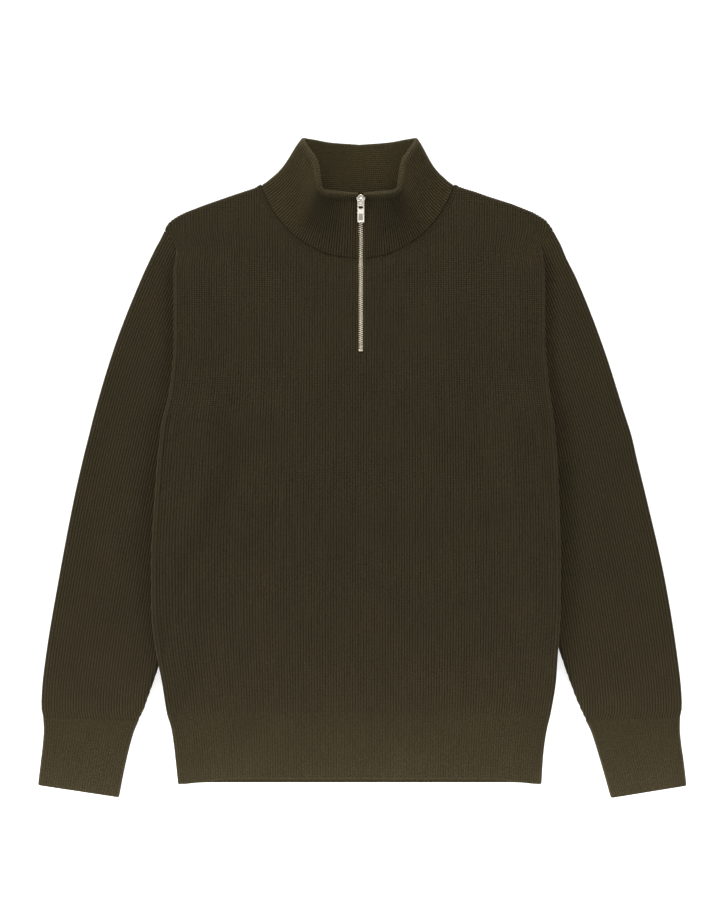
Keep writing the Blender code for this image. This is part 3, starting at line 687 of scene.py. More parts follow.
def buildPanel(name, front, solid):
    # The front or the back as a ribbed shell, thinned at its seams and rounded along its folds.
    rowsFar = np.array([0, 0.5, 1.2, 2.5, 5.0]) * mm
    points, phase, toSide, toFold, toHem, atSeam = panelGrid(rowsFar, front)
    x, y = points[..., 0], points[..., 1]
    if front:
        points[..., 2] += besideFold(x, y)
    normals = gridNormals(points)
    edge = np.minimum(roundEdge(toSide, halfWall), roundEdge(toFold, halfWall))
    edge = np.minimum(edge, seamShare(atSeam))
    keep = None
    if front:
        # rounded along the slit for the zip, whose faces are left out
        intoX = np.maximum(np.abs(x - knit["zipX"]) - body["slitHalf"], 0)
        belowSlit = np.maximum(body["slitBottomY"] - y, 0)
        edge = np.minimum(edge, roundEdge(np.hypot(intoX, belowSlit), 0.7 * halfWall))
        inSlit = (np.abs(phase) <= 1.001) & (y > body["slitBottomY"] - 0.2 * mm)
        keep = ~(inSlit[:-1, :-1] & inSlit[1:, 1:] & inSlit[:-1, 1:] & inSlit[1:, :-1])
    edge = edge * thinAtHem(toHem)
    inside, ridge = neckRidges(atSeam)
    inside = inside * (0.4 + 0.6 * softStep((np.abs(x - knit["neckX"]) - 25 * mm) / (40 * mm)))
    outside = variedGroove(phase, x.shape, (60, 146), 5) * (1 - inside) + ridge * inside
    inner = groove(phase + 0.5) + 0 * x
    uv = ribUv(phase, toHem)
    piece = ribbedShell(name, points, normals, edge, outside, inner, uv, bodyKnit, keep=keep)
    return finishPiece(piece, "garment", "rib_knit", solid)


sleeves = {
    "left": (
        ("outerY", "outerX", "innerY", "topX", "floorX"),
        (268.5, -225.4, 267.5, -220.9, -220.9),
        (258.5, -230.4, 254.5, -212.9, -212.9),
        (250.5, -234.8, 246.5, -209.2, -209.9),
        (241, -239.6, 234, -207.5, -209.5),
        (213.5, -252.3, 202, -205, -201.5),
        (137, -282.3, 124.5, -205, -194.5),
        (59.5, -305.6, 52, -205, -189),
        (35.5, -311.6, 22, -205, -189),
        (8, -318.5, -14, -191, -191),
        (-37.5, -328.7, -61.5, -196, -196),
        (-128.5, -346, -149, -212, -212),
        (-214, -360.3, -226.5, -231.2, -231.2),
        (-254, -364.9, -262, -243.2, -243.2),
        (-272, -365.6, -279, -249.1, -249.1),
        (-284.5, -363.5, -288, -254.2, -254.2),
    ),
    "right": (
        ("outerY", "outerX", "innerY", "topX", "floorX"),
        (268.5, 218.4, 267.5, 214, 214),
        (258.5, 223.9, 254.5, 205.6, 205.6),
        (250.5, 228, 246.5, 202.6, 203.2),
        (241, 231.7, 234, 201.5, 203),
        (213.5, 245.2, 202, 201, 196.5),
        (137, 275.1, 124.5, 201, 190.5),
        (59.5, 299.8, 52, 201, 185),
        (35.5, 307.4, 22, 201, 184.5),
        (8, 313.7, -14, 186, 186),
        (-37.5, 324.8, -61.5, 190.5, 190.5),
        (-128.5, 345.4, -149, 206.5, 206.5),
        (-214, 359.3, -226.5, 230.2, 230.2),
        (-254, 363.9, -262, 243, 243),
        (-272, 364.8, -279, 250.3, 250.3),
        (-284.5, 362.5, -288, 254.7, 254.7),
    ),
    "ribs": 49,  # in each wall, more than the widest place needs
    "rows": 74,
    "lastRows": (0.9975, 0.9992, 1.0),  # shares of the way down where the last rows of points lie
    # how far the upper wall sinks beside the fold of the body
    "foldDip": (
        ("y", "left", "right"),
        (-225, 0.2, 0.6),
        (-60, 0.2, 1),
        (60, 0.5, 1.2),
        (130, 1.8, 1.8),
        (260, 1.9, 1.8),
    ),
    "foldDipWidth": 9 * mm,
    "creasesLeft": (
        ("x0", "y0", "x1", "y1", "width", "depth", "bend"),
        (-262, 120, -316, -60, 14, 0.7, 0),
        (-240, 40, -300, -190, 16, -0.8, 0),
        (-300, -20, -330, -200, 16, 0.6, 0),
        (-262, -150, -318, -262, 13, 0.7, 0),
    ),
    "creasesRight": (
        ("x0", "y0", "x1", "y1", "width", "depth", "bend"),
        (256, 120, 308, -70, 14, 0.6, 0),
        (236, 30, 296, -180, 16, -0.7, 0),
        (292, -40, 326, -190, 16, 0.6, 0),
        (262, -150, 314, -258, 13, 0.8, 0),
    ),
}


def tubeWall(distance, total, outerRadius, innerRadius):
    # One wall of a flattened tube at an arc distance from its outer fold: how far across, and how far
    # below the flat top it is. Both ends are quarter circles.
    inward, drop = foldPath(distance, outerRadius)
    innerRadius = np.maximum(innerRadius, 1e-7)
    left = np.maximum(total - distance, 0)
    width = total - (outerRadius + innerRadius) * (np.pi / 2 - 1)
    innerInward, innerDrop = foldPath(left, innerRadius)
    onInner = left < innerRadius * np.pi / 2
    return np.where(onInner, width - innerInward, inward), np.where(onInner, innerDrop, drop)


cuffs = {
    "left": (
        ("outerY", "outerX", "innerY", "innerX"),
        (-284.5, -363.5, -288, -254.2),
        (-297.5, -362.5, -300.5, -259.6),
        (-315.5, -363.7, -321, -265.4),
        (-333.5, -365.8, -343, -270.4),
        (-362, -369.2, -376, -276.8),
    ),
    "right": (
        ("outerY", "outerX", "innerY", "innerX"),
        (-284.5, 362.5, -288, 254.7),
        (-297.5, 362.2, -300.5, 260.9),
        (-315.5, 363.7, -321, 267.5),
        (-333.5, 366.4, -343, 274),
        (-362.7, 369.8, -376.7, 283.5),
    ),
    "ribs": 34,
    "rows": 12,
    "levelReach": 1.3 * mm,  # valleys fill up beside the seam
    "seamLevel": 0.1,
}


def levelAt(distance, outside):
    # Valleys fill up beside the seam of a cuff, as exp(-(d / reach)^2).
    flat = np.exp(-(distance / cuffs["levelReach"]) ** 2)
    return outside * (1 - flat) + cuffs["seamLevel"] * flat


def buildSleeve(name, key, side, solid):
    # A flattened tube. Its upper wall ends at topX and its lower one at floorX, open where it
    # lies under the body and closed by an inner fold below the armpit.
    table = sleeves[key]
    outerY = column(table, "outerY")
    spread = np.append(np.linspace(0, 1, sleeves["rows"])[:-1], sleeves["lastRows"])
    count = len(spread)
    oy = outerY[0] + (outerY[-1] - outerY[0]) * (0.25 * spread + 0.75 * spread ** 1.25)
    ox = along(table, "outerX", oy, by="outerY")
    iy = along(table, "innerY", oy, by="outerY")
    halfPhases = ribPhases(sleeves["ribs"])
    halfPhases = halfPhases[halfPhases >= 0.5]
    phase = np.concatenate([1 - halfPhases[:0:-1], halfPhases])
    signed = (phase - 0.5) * knit["ribPitch"]
    upper = signed[None, :] >= 0
    ends = [along(table, wallEnd, iy, by="innerY")[:, None] for wallEnd in ("topX", "floorX")]
    dx, dy = np.where(upper, *ends) - ox[:, None], (iy - oy)[:, None]
    chord = np.hypot(dx, dy)
    closed = softStep((20 * mm - iy[:, None]) / (30 * mm))
    outerRadius = knit["foldRadius"]
    innerRadius = outerRadius * closed
    width = chord - halfWall - halfWall * closed
    total = np.maximum(width + (outerRadius + innerRadius) * (np.pi / 2 - 1), 0.3 * mm)
    distance = np.minimum(np.abs(signed)[None, :], total)
    across, drop = tubeWall(distance, total, outerRadius, innerRadius)
    across = across + halfWall
    x = ox[:, None] + dx / chord * across
    y = oy[:, None] + dy / chord * across
    level = halfWall + outerRadius
    rise = outerRadius - drop
    z = level + np.where(upper, rise, -rise)
    shape = creases(x, y, sleeves["creasesLeft" if side < 0 else "creasesRight"])
    shape = shape * softStep((iy[:, None] - iy[-1]) / (25 * mm))
    # the upper wall sinks beside the body's fold
    beyond = sideReach(side, y, body["sides"]) - np.abs(x - knit["zipX"])
    dip = softStep((252 * mm - y) / (30 * mm)) * softStep((y + 225 * mm) / (70 * mm))
    besideBody = np.exp(-(np.minimum(beyond + 2 * mm, 0) / sleeves["foldDipWidth"]) ** 2)
    shape = shape - along(sleeves["foldDip"], key, y) * dip * besideBody
    calm = softStep((total - distance) / (8 * mm))
    stray = softNoise(*x.shape, 34, 60, 8 + side) * knit["wander"] * calm
    x = x + stray * softStep(distance / (6 * mm))
    z = z + np.where(upper, shape * softStep((rise / outerRadius - 0.5) * 2), 0)
    points = np.stack([x, y, z], -1)
    # columns past the end of a wall all merge into its end
    columns = np.arange(len(signed))
    ended = np.abs(signed)[None, :] >= total
    centre = len(signed) // 2
    firstEnd = np.argmax(np.where(columns >= centre, ended, False), 1)
    lastEnd = len(signed) - 1 - np.argmax(np.where(columns <= centre, ended, False)[:, ::-1], 1)
    merged = np.clip(columns[None, :], lastEnd[:, None], firstEnd[:, None])
    # at a merged end the normal is that of the column before it
    inner = np.clip(merged, lastEnd[:, None] + 1, firstEnd[:, None] - 1)
    normals = np.take_along_axis(gridNormals(points), inner[..., None], 1)
    length = np.concatenate([[0], np.cumsum(np.hypot(np.diff(ox), np.diff(oy)))])
    toCuff = length[-1] - length[:, None]
    edge = roundEdge(total - distance, halfWall) * (1 - 0.06 * np.exp(-(toCuff / mm) ** 2))
    outside = levelAt(toCuff, variedGroove(phase, x.shape, (60, 92), 12 + side))
    inside = groove(phase + 0.5) + 0 * x
    uv = ribUv(phase[None, :], length[:, None])
    if side > 0:
        points, normals, edge, outside = flipped(points, -normals, edge, outside)
        inside, uv, merged = flipped(inside, uv, merged)
    vertexOf = merged + len(signed) * np.arange(count)[:, None]
    piece = ribbedShell(name, points, normals, edge, outside, inside, uv, sleeveKnit, vertexOf=vertexOf)
    return finishPiece(piece, "garment", "rib_knit", solid)


def buildCuff(name, key, side, solid):
    # A flattened tube whose ribs share out its width, with a rounded open end.
    table = cuffs[key]
    outerY = column(table, "outerY")
    drop0 = outerY[0] - outerY[-1]
    rimRows = np.array(knit["rimRows"]) * mm
    down = stations(np.array([drop0]), [0.0, 1.0 * mm], rimRows, cuffs["rows"])[:, 0]
    oy = outerY[0] - down
    ox = along(table, "outerX", oy, by="outerY")
    ix = along(table, "innerX", oy, by="outerY")
    iy = along(table, "innerY", oy, by="outerY")
    phases = ribPhases(cuffs["ribs"] + 1)
    phases = phases[(phases >= 0.5) & (phases <= cuffs["ribs"] + 0.5)]
    share = (np.concatenate([phases[::-1], phases[1:]]) - 0.5) / cuffs["ribs"]
    phase = np.concatenate([phases[::-1], 1 - phases[1:]])
    chord = np.hypot(ix - ox, iy - oy)
    radius = knit["foldRadius"]
    total = chord - knit["wall"] + 2 * radius * (np.pi / 2 - 1)
    upper = np.arange(len(share)) < len(phases)
    distance = share[None, :] * total[:, None]
    across, drop = tubeWall(distance, total[:, None], radius, radius)
    across = across + halfWall
    x = ox[:, None] + ((ix - ox) / chord)[:, None] * across
    y = oy[:, None] + ((iy - oy) / chord)[:, None] * across
    z = halfWall + radius + np.where(upper, radius - drop, drop - radius)
    points = np.stack([x, y, z], -1)
    normals = ringNormals(points)
    edge = roundEdge((drop0 - down)[:, None] + 0 * share, halfWall)
    outside = levelAt(down[:, None], variedGroove(phase, x.shape, (8, 68), 31 + side))
    inside = groove(phase + 0.5) + 0 * x
    uv = ribUv(phase[None, :], down[:, None])
    if side > 0:
        points, normals, edge, outside = flipped(points, -normals, edge, outside)
        inside, uv = flipped(inside, uv)
    ids = ringIds(*x.shape)
    piece = ribbedShell(name, points, normals, edge, outside, inside, uv, bandKnit, vertexOf=ids)
    return finishPiece(piece, "garment", "rib_band", solid)


hem = {
    "bottomY": -359.4 * mm,
    "cornerDrop": 1.4 * mm,  # its lower corners hang below the middle
    "frontRise": 4.6 * mm,  # the front layer ends above the back one between the corners
    "rows": 13,
}


def buildHem():
    # A flattened tube that goes on from both panels: out along the front, back along the back.
    phases = ribPhases(body["ribsPerSide"])
    half = phases / body["ribsPerSide"]
    frontShare = np.concatenate([-half[:0:-1], half])
    frontPhase = np.concatenate([-phases[:0:-1], phases])
    share = np.concatenate([frontShare, frontShare[-2::-1]])
    phase = np.concatenate([frontPhase, 2 * frontPhase[-1] - frontPhase[-2::-1]])
    isFront = np.arange(len(share)) < len(frontShare)
    side = np.where(share < 0, -1.0, 1.0)
    s = np.abs(share)
    risen = np.where(isFront, hem["frontRise"] * softStep((0.96 - s) / 0.3), 0)
    bottom = hem["bottomY"] - hem["cornerDrop"] * softStep((s - 0.8) / 0.2) + risen
    length = body["hemSeamY"] - bottom
    rimRows = np.array(knit["rimRows"]) * mm
    up = stations(length, rimRows, [0.0, 0.5 * mm, 1.3 * mm], hem["rows"])
    y = bottom + up
    radius = knit["foldRadius"]
    reach = sideReach(side, y, body["sides"]) - halfWall
    curve = radius * (np.pi / 2 - 1)
    arc = body["halfArc"] * s + (reach + curve - body["halfArc"]) * s ** 2.5
    inward, drop = foldPath(np.maximum(reach + curve - arc, 0), radius)
    x = knit["zipX"] + side * (reach - inward)
    upper = frontHeight(x, y) - drop
    lower = backHeight(x, y) + drop
    points = np.stack([x, y, np.where(isFront, upper, lower)], -1)
    normals = ringNormals(points)
    edge = roundEdge(up, halfWall) * thinAtHem(length - up)
    outside = variedGroove(phase, x.shape, (8, 292), 41)
    inside = groove(phase + 0.5) + 0 * x
    uv = ribUv(phase, up)
    ids = ringIds(*x.shape)
    piece = ribbedShell("hemBand", points, normals, edge, outside, inside, uv, bandKnit, vertexOf=ids)
    return finishPiece(piece, "garment", "rib_band", "hem_band")


# The collar from the zip round to the middle of the back: its seam, its rim, and how far
# the cloth between them bows in towards the neck.
collar = {
    "places": (
        ("seamHalf", "seamY", "seamZ", "rimHalf", "rimY", "rimZ", "bow"),
        (0, 238.2, 8.2, 0, 311.8, 16.5, 0),
        (29, 242, 8.2, 24, 312.9, 17.5, 0),
        (53, 252.2, 8.1, 37, 313.8, 19.5, 0.6),
        (70, 263.2, 8, 42.5, 317.6, 21.5, 1.8),
        (82.5, 275.5, 8, 44.3, 328.9, 22.5, 3.2),
        (93, 288.5, 8, 47, 345.9, 21.5, 4.6),
        (102, 304, 8, 56, 361.2, 18, 5.8),
        (107, 316, 7.4, 61.8, 370.3, 13.5, 6.6),
        (108.6, 320.6, 5.6, 63.1, 374.2, 8.6, 6.7),
        (106, 318.6, 3.1, 61.5, 374.8, 4.2, 6.5),
        (96, 310.8, 2.2, 52, 373.4, 2.3, 4.5),
        (62, 300.8, 2.2, 33, 370, 2.2, 1),
        (0, 295.8, 2.2, 0, 367.5, 2.2, 0),
    ),
    "foldPlace": 8,
    "half": 2.2 * mm,  # half of its double wall
    "seamHalfWall": 1.45 * mm,
    "rollRadius": 3.0 * mm,
    "rollOut": 2.0 * mm,  # how much the roll along the rim adds outside and inside
    "rollIn": 0.6 * mm,
    "sag": 1.6 * mm,
    "frontRaise": 6.5 * mm,  # how much the rim stands up beside the zip
    "ribsPerSide": 84,
    "rows": 20,
    "seamRows": (0, 0.3, 0.7, 1.2, 2.2, 4.0),  # where the rows of points lie above the seam, in mm
    "rimRows": (0, 0.1, 0.4, 0.9, 1.5, 2.2, 3.0, 3.8, 4.6, 5.4, 6.2, 7.0, 8.0, 9.2, 10.6),
}


def collarAtZip():
    # The first of the collar's places, by name.
    return dict(zip(collar["places"][0], np.array(collar["places"][1], float) * mm))


def collarHeightAtZip(y):
    # A straight line from the seam to the rim.
    first = collarAtZip()
    rise = (y - first["seamY"]) / (first["rimY"] - first["seamY"])
    return first["seamZ"] + (first["rimZ"] - first["seamZ"]) * np.clip(rise, 0, 1)


def buildCollar():
    # Straight lines from the seam to the rim at r from 0 to 1, bowed in by 6.75 bow r (1 - r)^2,
    # sunk by sag 6.75 r^2 (1 - r), and swollen into a roll along the rim.
    table = collar["places"]
    rows = np.arange(len(table) - 1)
    fine = np.linspace(0, rows[-1], 2400)
    seamKeys = ("seamHalf", "seamY", "seamZ")
    seam = np.stack([smoothThrough(rows, column(table, key), fine) for key in seamKeys])
    walked = np.append(0, np.cumsum(np.linalg.norm(np.diff(seam), axis=0)))
    phases = ribPhases(collar["ribsPerSide"])
    place = np.interp(phases / collar["ribsPerSide"] * walked[-1], walked, fine)
    place = np.concatenate([place, place[-2::-1]])
    phase = np.concatenate([phases, 2 * phases[-1] - phases[-2::-1]])
    side = np.where(np.arange(len(place)) < len(phases), -1.0, 1.0)
    value = {key: smoothThrough(rows, column(table, key), place) for key in table[0]}
    besideZip = (knit["zipX"] + side * body["slitHalf"]) * (1 - softStep(place))
    seamX = knit["neckX"] * softStep(place) + side * value["seamHalf"] + besideZip
    rimX = knit["rimX"] * softStep(place) + side * value["rimHalf"] + besideZip
    overY, overZ = value["rimY"] - value["seamY"], value["rimZ"] - value["seamZ"]
    length = np.sqrt((rimX - seamX) ** 2 + overY ** 2 + overZ ** 2)
    seamRows, rimRows = np.array(collar["seamRows"]) * mm, np.array(collar["rimRows"]) * mm
    toSeam = stations(length, seamRows, rimRows, collar["rows"])
    r = toSeam / length
    around = softStep(place - 0.2) * softStep((7.6 - place) / 1.5)
    x = seamX + (rimX - seamX) * r - side * value["bow"] * 6.75 * r * (1 - r) ** 2
    y = value["seamY"] + knit["gap"] / 2 + overY * r
    raised = collar["frontRaise"] * softStep(place / 1.6) * softStep((6.0 - place) / 3.0)
    sunk = collar["sag"] * around * 6.75 * r ** 2 * (1 - r)
    z = value["seamZ"] + (value["rimZ"] + raised - value["seamZ"]) * r - sunk
    calm = softStep(toSeam / (8 * mm)) * softStep((length - toSeam) / (14 * mm))
    x = x + softNoise(*x.shape, 8, 130, 21) * knit["wander"] * calm * around
    points = np.stack([x, y, z], -1)
    toRim = length - toSeam
    roll = collar["rollRadius"]
    swell = np.exp(-((toRim - roll) / (0.75 * roll)) ** 2)
    swell = swell - 0.4 * np.exp(-((toRim - 3.1 * roll) / (0.8 * roll)) ** 2)
    thicker = (collar["half"] - collar["seamHalfWall"]) * softStep(toSeam / (12 * mm))
    base = collar["seamHalfWall"] + thicker
    toZip = np.where(side < 0, phase, 2 * phases[-1] - phase) * walked[-1] / collar["ribsPerSide"]
    edge = roundEdge(toZip + 0 * toSeam, 1.4 * mm) * seamShare(toSeam) * roundEdge(toRim, roll)
    vary = 1 + knit["uneven"] * softNoise(*x.shape, 30, 168, 22)
    outside = 1.6 * groove(phase) * vary * (1 - 0.25 * softStep(r * 1.3 - 0.3))
    inside = 1.1 * groove(phase + 0.5) + 0 * x
    standing = softStep((8.0 - place) / 1.5)
    outer = edge * (base + collar["rollOut"] * swell * standing - knit["ribDepth"] * outside)
    inner = edge * (base + collar["rollIn"] * swell * standing - knit["ribDepth"] * inside)
    # painted light and shade: the cloth is painted lighter on the roll, at the sides and inside the back, and
    # darker under the front's rim
    paintedRollHighlight = standing * np.exp(-((toRim - 1.0 * roll) / (0.95 * roll)) ** 2)
    # painted light on the collar's sides
    sides = 0.65 * softStep((place - 2.5) / 1.5) * softStep((8.5 - place) / 1.0) * (1 - paintedRollHighlight)
    # painted shade under the front's rim
    under = 0.22 * softStep((4.0 - place) / 1.5) * softStep((place - 0.2) / 1.0) * softStep(2.2 * r)
    outerTone = groove(phase) - (paintedRollHighlight + sides) * (1 - groove(phase)) + under * (1 - paintedRollHighlight)
    # inside: painted shade in the valleys, and painted light on the roll and inside the back
    innerTone = 0.55 * inside - 0.7 * paintedRollHighlight - 0.7 * softStep((place - 5.5) / 2.0)
    tones = (innerTone, outerTone)
    data = shellData(points, gridNormals(points), inner, outer, ribUv(phase, toSeam), grooves=tones)
    piece = meshPiece("standCollar", [data], collarKnit)
    return finishPiece(piece, "garment", "collar_knit", "collar")


zipper = {
    "tapeHalf": 12 * mm,
    "tapeThickness": 0.8 * mm,
    "tapeY": (122 * mm, 309 * mm),
    "chainY": (135.0 * mm, 295 * mm),
    "chainProud": 0.3 * mm,
    "toothPitch": 2.36 * mm,  # between teeth of the same side
    "toothSize": (2.9 * mm, 1.05 * mm, 2.1 * mm),
    "stopSize": (4.6 * mm, 2.2 * mm, 2.3 * mm),
    "toothOffset": 1.0 * mm,  # its middle from the line of the zip
    "hingeY": 302.3 * mm,
    "hingeAbovePlate": 1.45 * mm,
    "plateThickness": 1.6 * mm,
    "pullTilt": math.radians(3.5),
    "sliderOutline": (
        ("along", "half"),
        (-7, 3.7),
        (-6.2, 4.05),
        (-1, 4.1),
        (1.2, 4.5),
        (2.9, 5.1),
        (6.9, 0.9),
    ),
    "pullHalf": 3.9 * mm,
    "pullEnds": (-25.2 * mm, 0.8 * mm),
    "pullHalfThickness": 0.7 * mm,
    "pullBend": 0.45 * mm,  # how far its lower end curves down
    "bendFromY": -14 * mm,
    "bendLength": 11.2 * mm,
    "window": (2.45 * mm, -9.1 * mm, -0.8 * mm),
    "recess": (2.6 * mm, -23.6 * mm, -15.5 * mm),
    "recessDepth": 1.15 * mm,
    "pullColumns": (0, 1.2, 2.0, 2.3, 2.45, 2.55, 2.65, 2.85, 3.3, 3.6, 3.8, 3.87, 3.9),
    "pullRows": (
        -25.2, -25.15, -25.0, -24.75, -24.4, -24.0, -23.65, -23.5, -22, -20, -18, -16.6, -15.8, -15.55, -15.4,
        -14.8, -13, -11, -9.8, -9.4, -9.2, -9.1, -6, -3, -0.8, -0.7, -0.5, 0, 0.4, 0.65, 0.76, 0.8,
    ),
}


def zipHeight(y):
    # Middle height of the cloth beside the zip, from the front up the collar.
    onCollar = y > column(collar["places"], "seamY")[0]
    return np.where(onCollar, collarHeightAtZip(y), frontHeight(knit["zipX"], y))


def plainUv(x, y, size):
    return np.stack([x / size, y / size], -1)


def buildTape():
    # A strip behind the slit that follows the panel and then the collar, a gap below both.
    seamY = column(collar["places"], "seamY")[0]
    low, high = zipper["tapeY"]
    onPanel, onCollar = np.linspace(low, seamY - 6 * mm, 6), np.linspace(seamY + 12 * mm, high, 4)
    knots = np.concatenate([onPanel, [seamY + 1 * mm], onCollar])
    down = knit["gap"] + zipper["tapeThickness"] / 2
    underPanel = frontHeight(knit["zipX"], np.minimum(knots, seamY)) - halfWall - down
    underCollar = collarHeightAtZip(knots) - collar["half"] - down
    heights = np.where(knots > seamY + 5 * mm, underCollar, np.minimum(underPanel, underCollar))
    ends = np.array([0, 0.2, 0.6]) * mm
    y = stations(np.array([high - low]), ends, ends, 60) + low
    half = np.array([3, 6, 9, 11.4, 11.8, 12])
    across = np.concatenate([-half[::-1], [0], half]) * mm
    x = across[None, :] + 0 * y
    points = np.stack([x + knit["zipX"], y + 0 * x, smoothThrough(knots, heights, y) + 0 * x], -1)
    toEdge = np.minimum(zipper["tapeHalf"] - np.abs(x), np.minimum(y - low, high - y))
    thick = zipper["tapeThickness"] / 2 * roundEdge(toEdge, 0.4 * mm)
    uv = plainUv(x, points[..., 1], 0.9 * mm)
    piece = meshPiece("zipTape", [shellData(points, gridNormals(points), thick, thick, uv)], tapeCloth)
    return finishPiece(piece, "garment", "zip_tape", "zip_tape")


def lowPower(value, power):
    # |value| ^ power with the sign of the value.
    return np.sign(value) * np.abs(value) ** power


def roundedBlock(size, rings=8, around=16, square=0.3):
    # A box with rounded edges: the sines and cosines of a sphere, each raised to a low power.
    up = np.linspace(-np.pi / 2, np.pi / 2, rings)[:, None]
    turn = np.linspace(0, 2 * np.pi, around + 1)[None, :]
    flat = np.abs(np.cos(up)) ** square
    flat[[0, -1]] = 0
    x, y = flat * lowPower(np.cos(turn), square), flat * lowPower(np.sin(turn), square)
    unitBox = np.stack([x, y, lowPower(np.sin(up), square) + 0 * turn], -1)
    ids = ringIds(rings, around + 1)
    ids[0], ids[-1] = ids[0, 0], ids[-1, 0]
    faces = gridFaces(ids)
    points = unitBox.reshape(-1, 3) * np.array(size) / 2
    caps = (faces == np.roll(faces, -1, 1)).any(1)
    tri = faces[caps]
    order = (np.argmax(tri == np.roll(tri, -1, 1), 1)[:, None] + np.array([1, 2, 3])) % 4
    return points, [faces[~caps], np.take_along_axis(tri, order, 1)]


def buildChain():
    # Two rows of the same tooth, half a pitch apart, and a stop below them. They follow the zip's height.
    low, high = zipper["chainY"]
    pitch = zipper["toothPitch"]
    tooth, faces = roundedBlock(zipper["toothSize"])
    tooth[:, 1] *= 1 - 0.25 * (tooth[:, 0] < 0) * np.abs(tooth[:, 0]) / tooth[:, 0].max()
    heights = np.arange(low, high, pitch)
    parts = []
    for side in (-1, 1):
        made = np.tile(tooth * np.array([side, 1, 1]), (len(heights), 1, 1))
        made[..., 0] += knit["zipX"] + side * zipper["toothOffset"]
        made[..., 1] += heights[:, None] + (0.25 if side > 0 else -0.25) * pitch
        start = np.arange(len(made))[:, None, None] * made.shape[1]
        lists = [(f[None] + start).reshape(-1, f.shape[1])[:, ::side] for f in faces]
        parts.append((made.reshape(-1, 3), lists))
    stop, stopFaces = roundedBlock(zipper["stopSize"])
    parts.append((stop + np.array([knit["zipX"], low - 2.0 * mm, 0]), stopFaces))
    whole = []
    for points, lists in parts:
        height = zipHeight(points[:, 1]) + zipper["chainProud"]
        points = points + np.stack([0 * height, 0 * height, height], -1)
        uv = plainUv(points[:, 0], points[:, 1], 1 * mm)
        whole.append((points, lists, [uv[f] for f in lists], 0 * height))
    piece = meshPiece("zipChain", whole, toothMetal)
    return finishPiece(piece, "garment", "zip_metal", "zip_chain")


def hingeFrame(points, tilt):
    # From the slider's own axes, with the pull's hinge as X, to its place on the collar.
    first = collarAtZip()
    slope = math.atan2(first["rimZ"] - first["seamZ"], first["rimY"] - first["seamY"])
    above = collar["half"] + knit["gap"] + zipper["plateThickness"] + zipper["hingeAbovePlate"]
    height = float(zipHeight(zipper["hingeY"])) + above / math.cos(slope)
    turn = slope + tilt
    x, y, z = points[..., 0], points[..., 1], points[..., 2]
    return np.stack([
        x + knit["zipX"],
        y * math.cos(turn) - z * math.sin(turn) + zipper["hingeY"],
        y * math.sin(turn) + z * math.cos(turn) + height,
    ], -1)


def metalPart(points, above, below, tilt=0, keep=None):
    # A shell in the slider's own axes, moved to its place.
    uv = plainUv(points[..., 0], points[..., 1], 1 * mm)
    data = shellData(points, gridNormals(points), above, below, uv, keep=keep)
    return hingeFrame(data[0], tilt), *data[1:]


def buildSlider():
    # A plate whose sides curl round the chain, a bridge that the pull hangs on, and a post below.
    top = -zipper["hingeAbovePlate"]
    half = zipper["plateThickness"] / 2
    outline = zipper["sliderOutline"]
    ends = np.array([0, 0.08, 0.3, 0.7]) * mm
    y = stations(np.array([13.9 * mm]), ends, ends, 26) - 7 * mm
    share = np.sin(np.linspace(-np.pi / 2, np.pi / 2, 25))[None, :]
    width = np.interp(y, column(outline, "along"), column(outline, "half"))
    x = share * width
    points = np.stack([x, y + 0 * x, top - half + 0 * x], -1)
    toEdge = np.minimum((1 - np.abs(share)) * width, np.minimum(y + 7 * mm, 6.9 * mm - y))
    rounded = roundEdge(toEdge, 0.55 * mm)
    crown = 0.3 * mm * (1 - share ** 2)
    flange = 1.5 * mm * softStep((np.abs(share) - 0.8) / 0.07)
    plate = metalPart(points, rounded * (half + crown), rounded * (half + flange))
    corner = np.linspace(0, np.pi / 2, 9)
    arch = np.concatenate([
        [(2.95, -2.05), (2.95, -0.8)],
        np.stack([1.35 + 1.6 * np.cos(corner), 0.45 + 1.6 * np.sin(corner)], -1),
        [(-0.5, 2.1), (-2.4, 2.1)],
        np.stack([-4.25 - 1.6 * np.sin(corner), 0.45 + 1.6 * np.cos(corner)], -1),
        [(-5.85, -0.8), (-5.85, -2.05)],
    ]) * mm
    across = np.sin(np.linspace(-np.pi / 2, np.pi / 2, 11)) * 1.4 * mm
    grid = np.stack(np.broadcast_arrays(across[None, ::-1], arch[:, :1], arch[:, 1:]), -1)
    strap = 0.55 * mm * roundEdge(1.4 * mm - np.abs(across[::-1]), 0.5 * mm) + 0 * arch[:, :1]
    bridge = metalPart(grid, strap, strap)
    x = np.linspace(-2.2, 2.2, 6)[None, :] * mm
    y = np.linspace(-6.0, 3.4, 6)[:, None] * mm
    grid = np.stack(np.broadcast_arrays(x, y, top - 2 * half - 2.0 * mm), -1)
    post = metalPart(grid, 2.2 * mm, 1.6 * mm)
    piece = meshPiece("zipSlider", [plate, bridge, post], nickel)
    return finishPiece(piece, "garment", "zip_metal", "zip_slider")


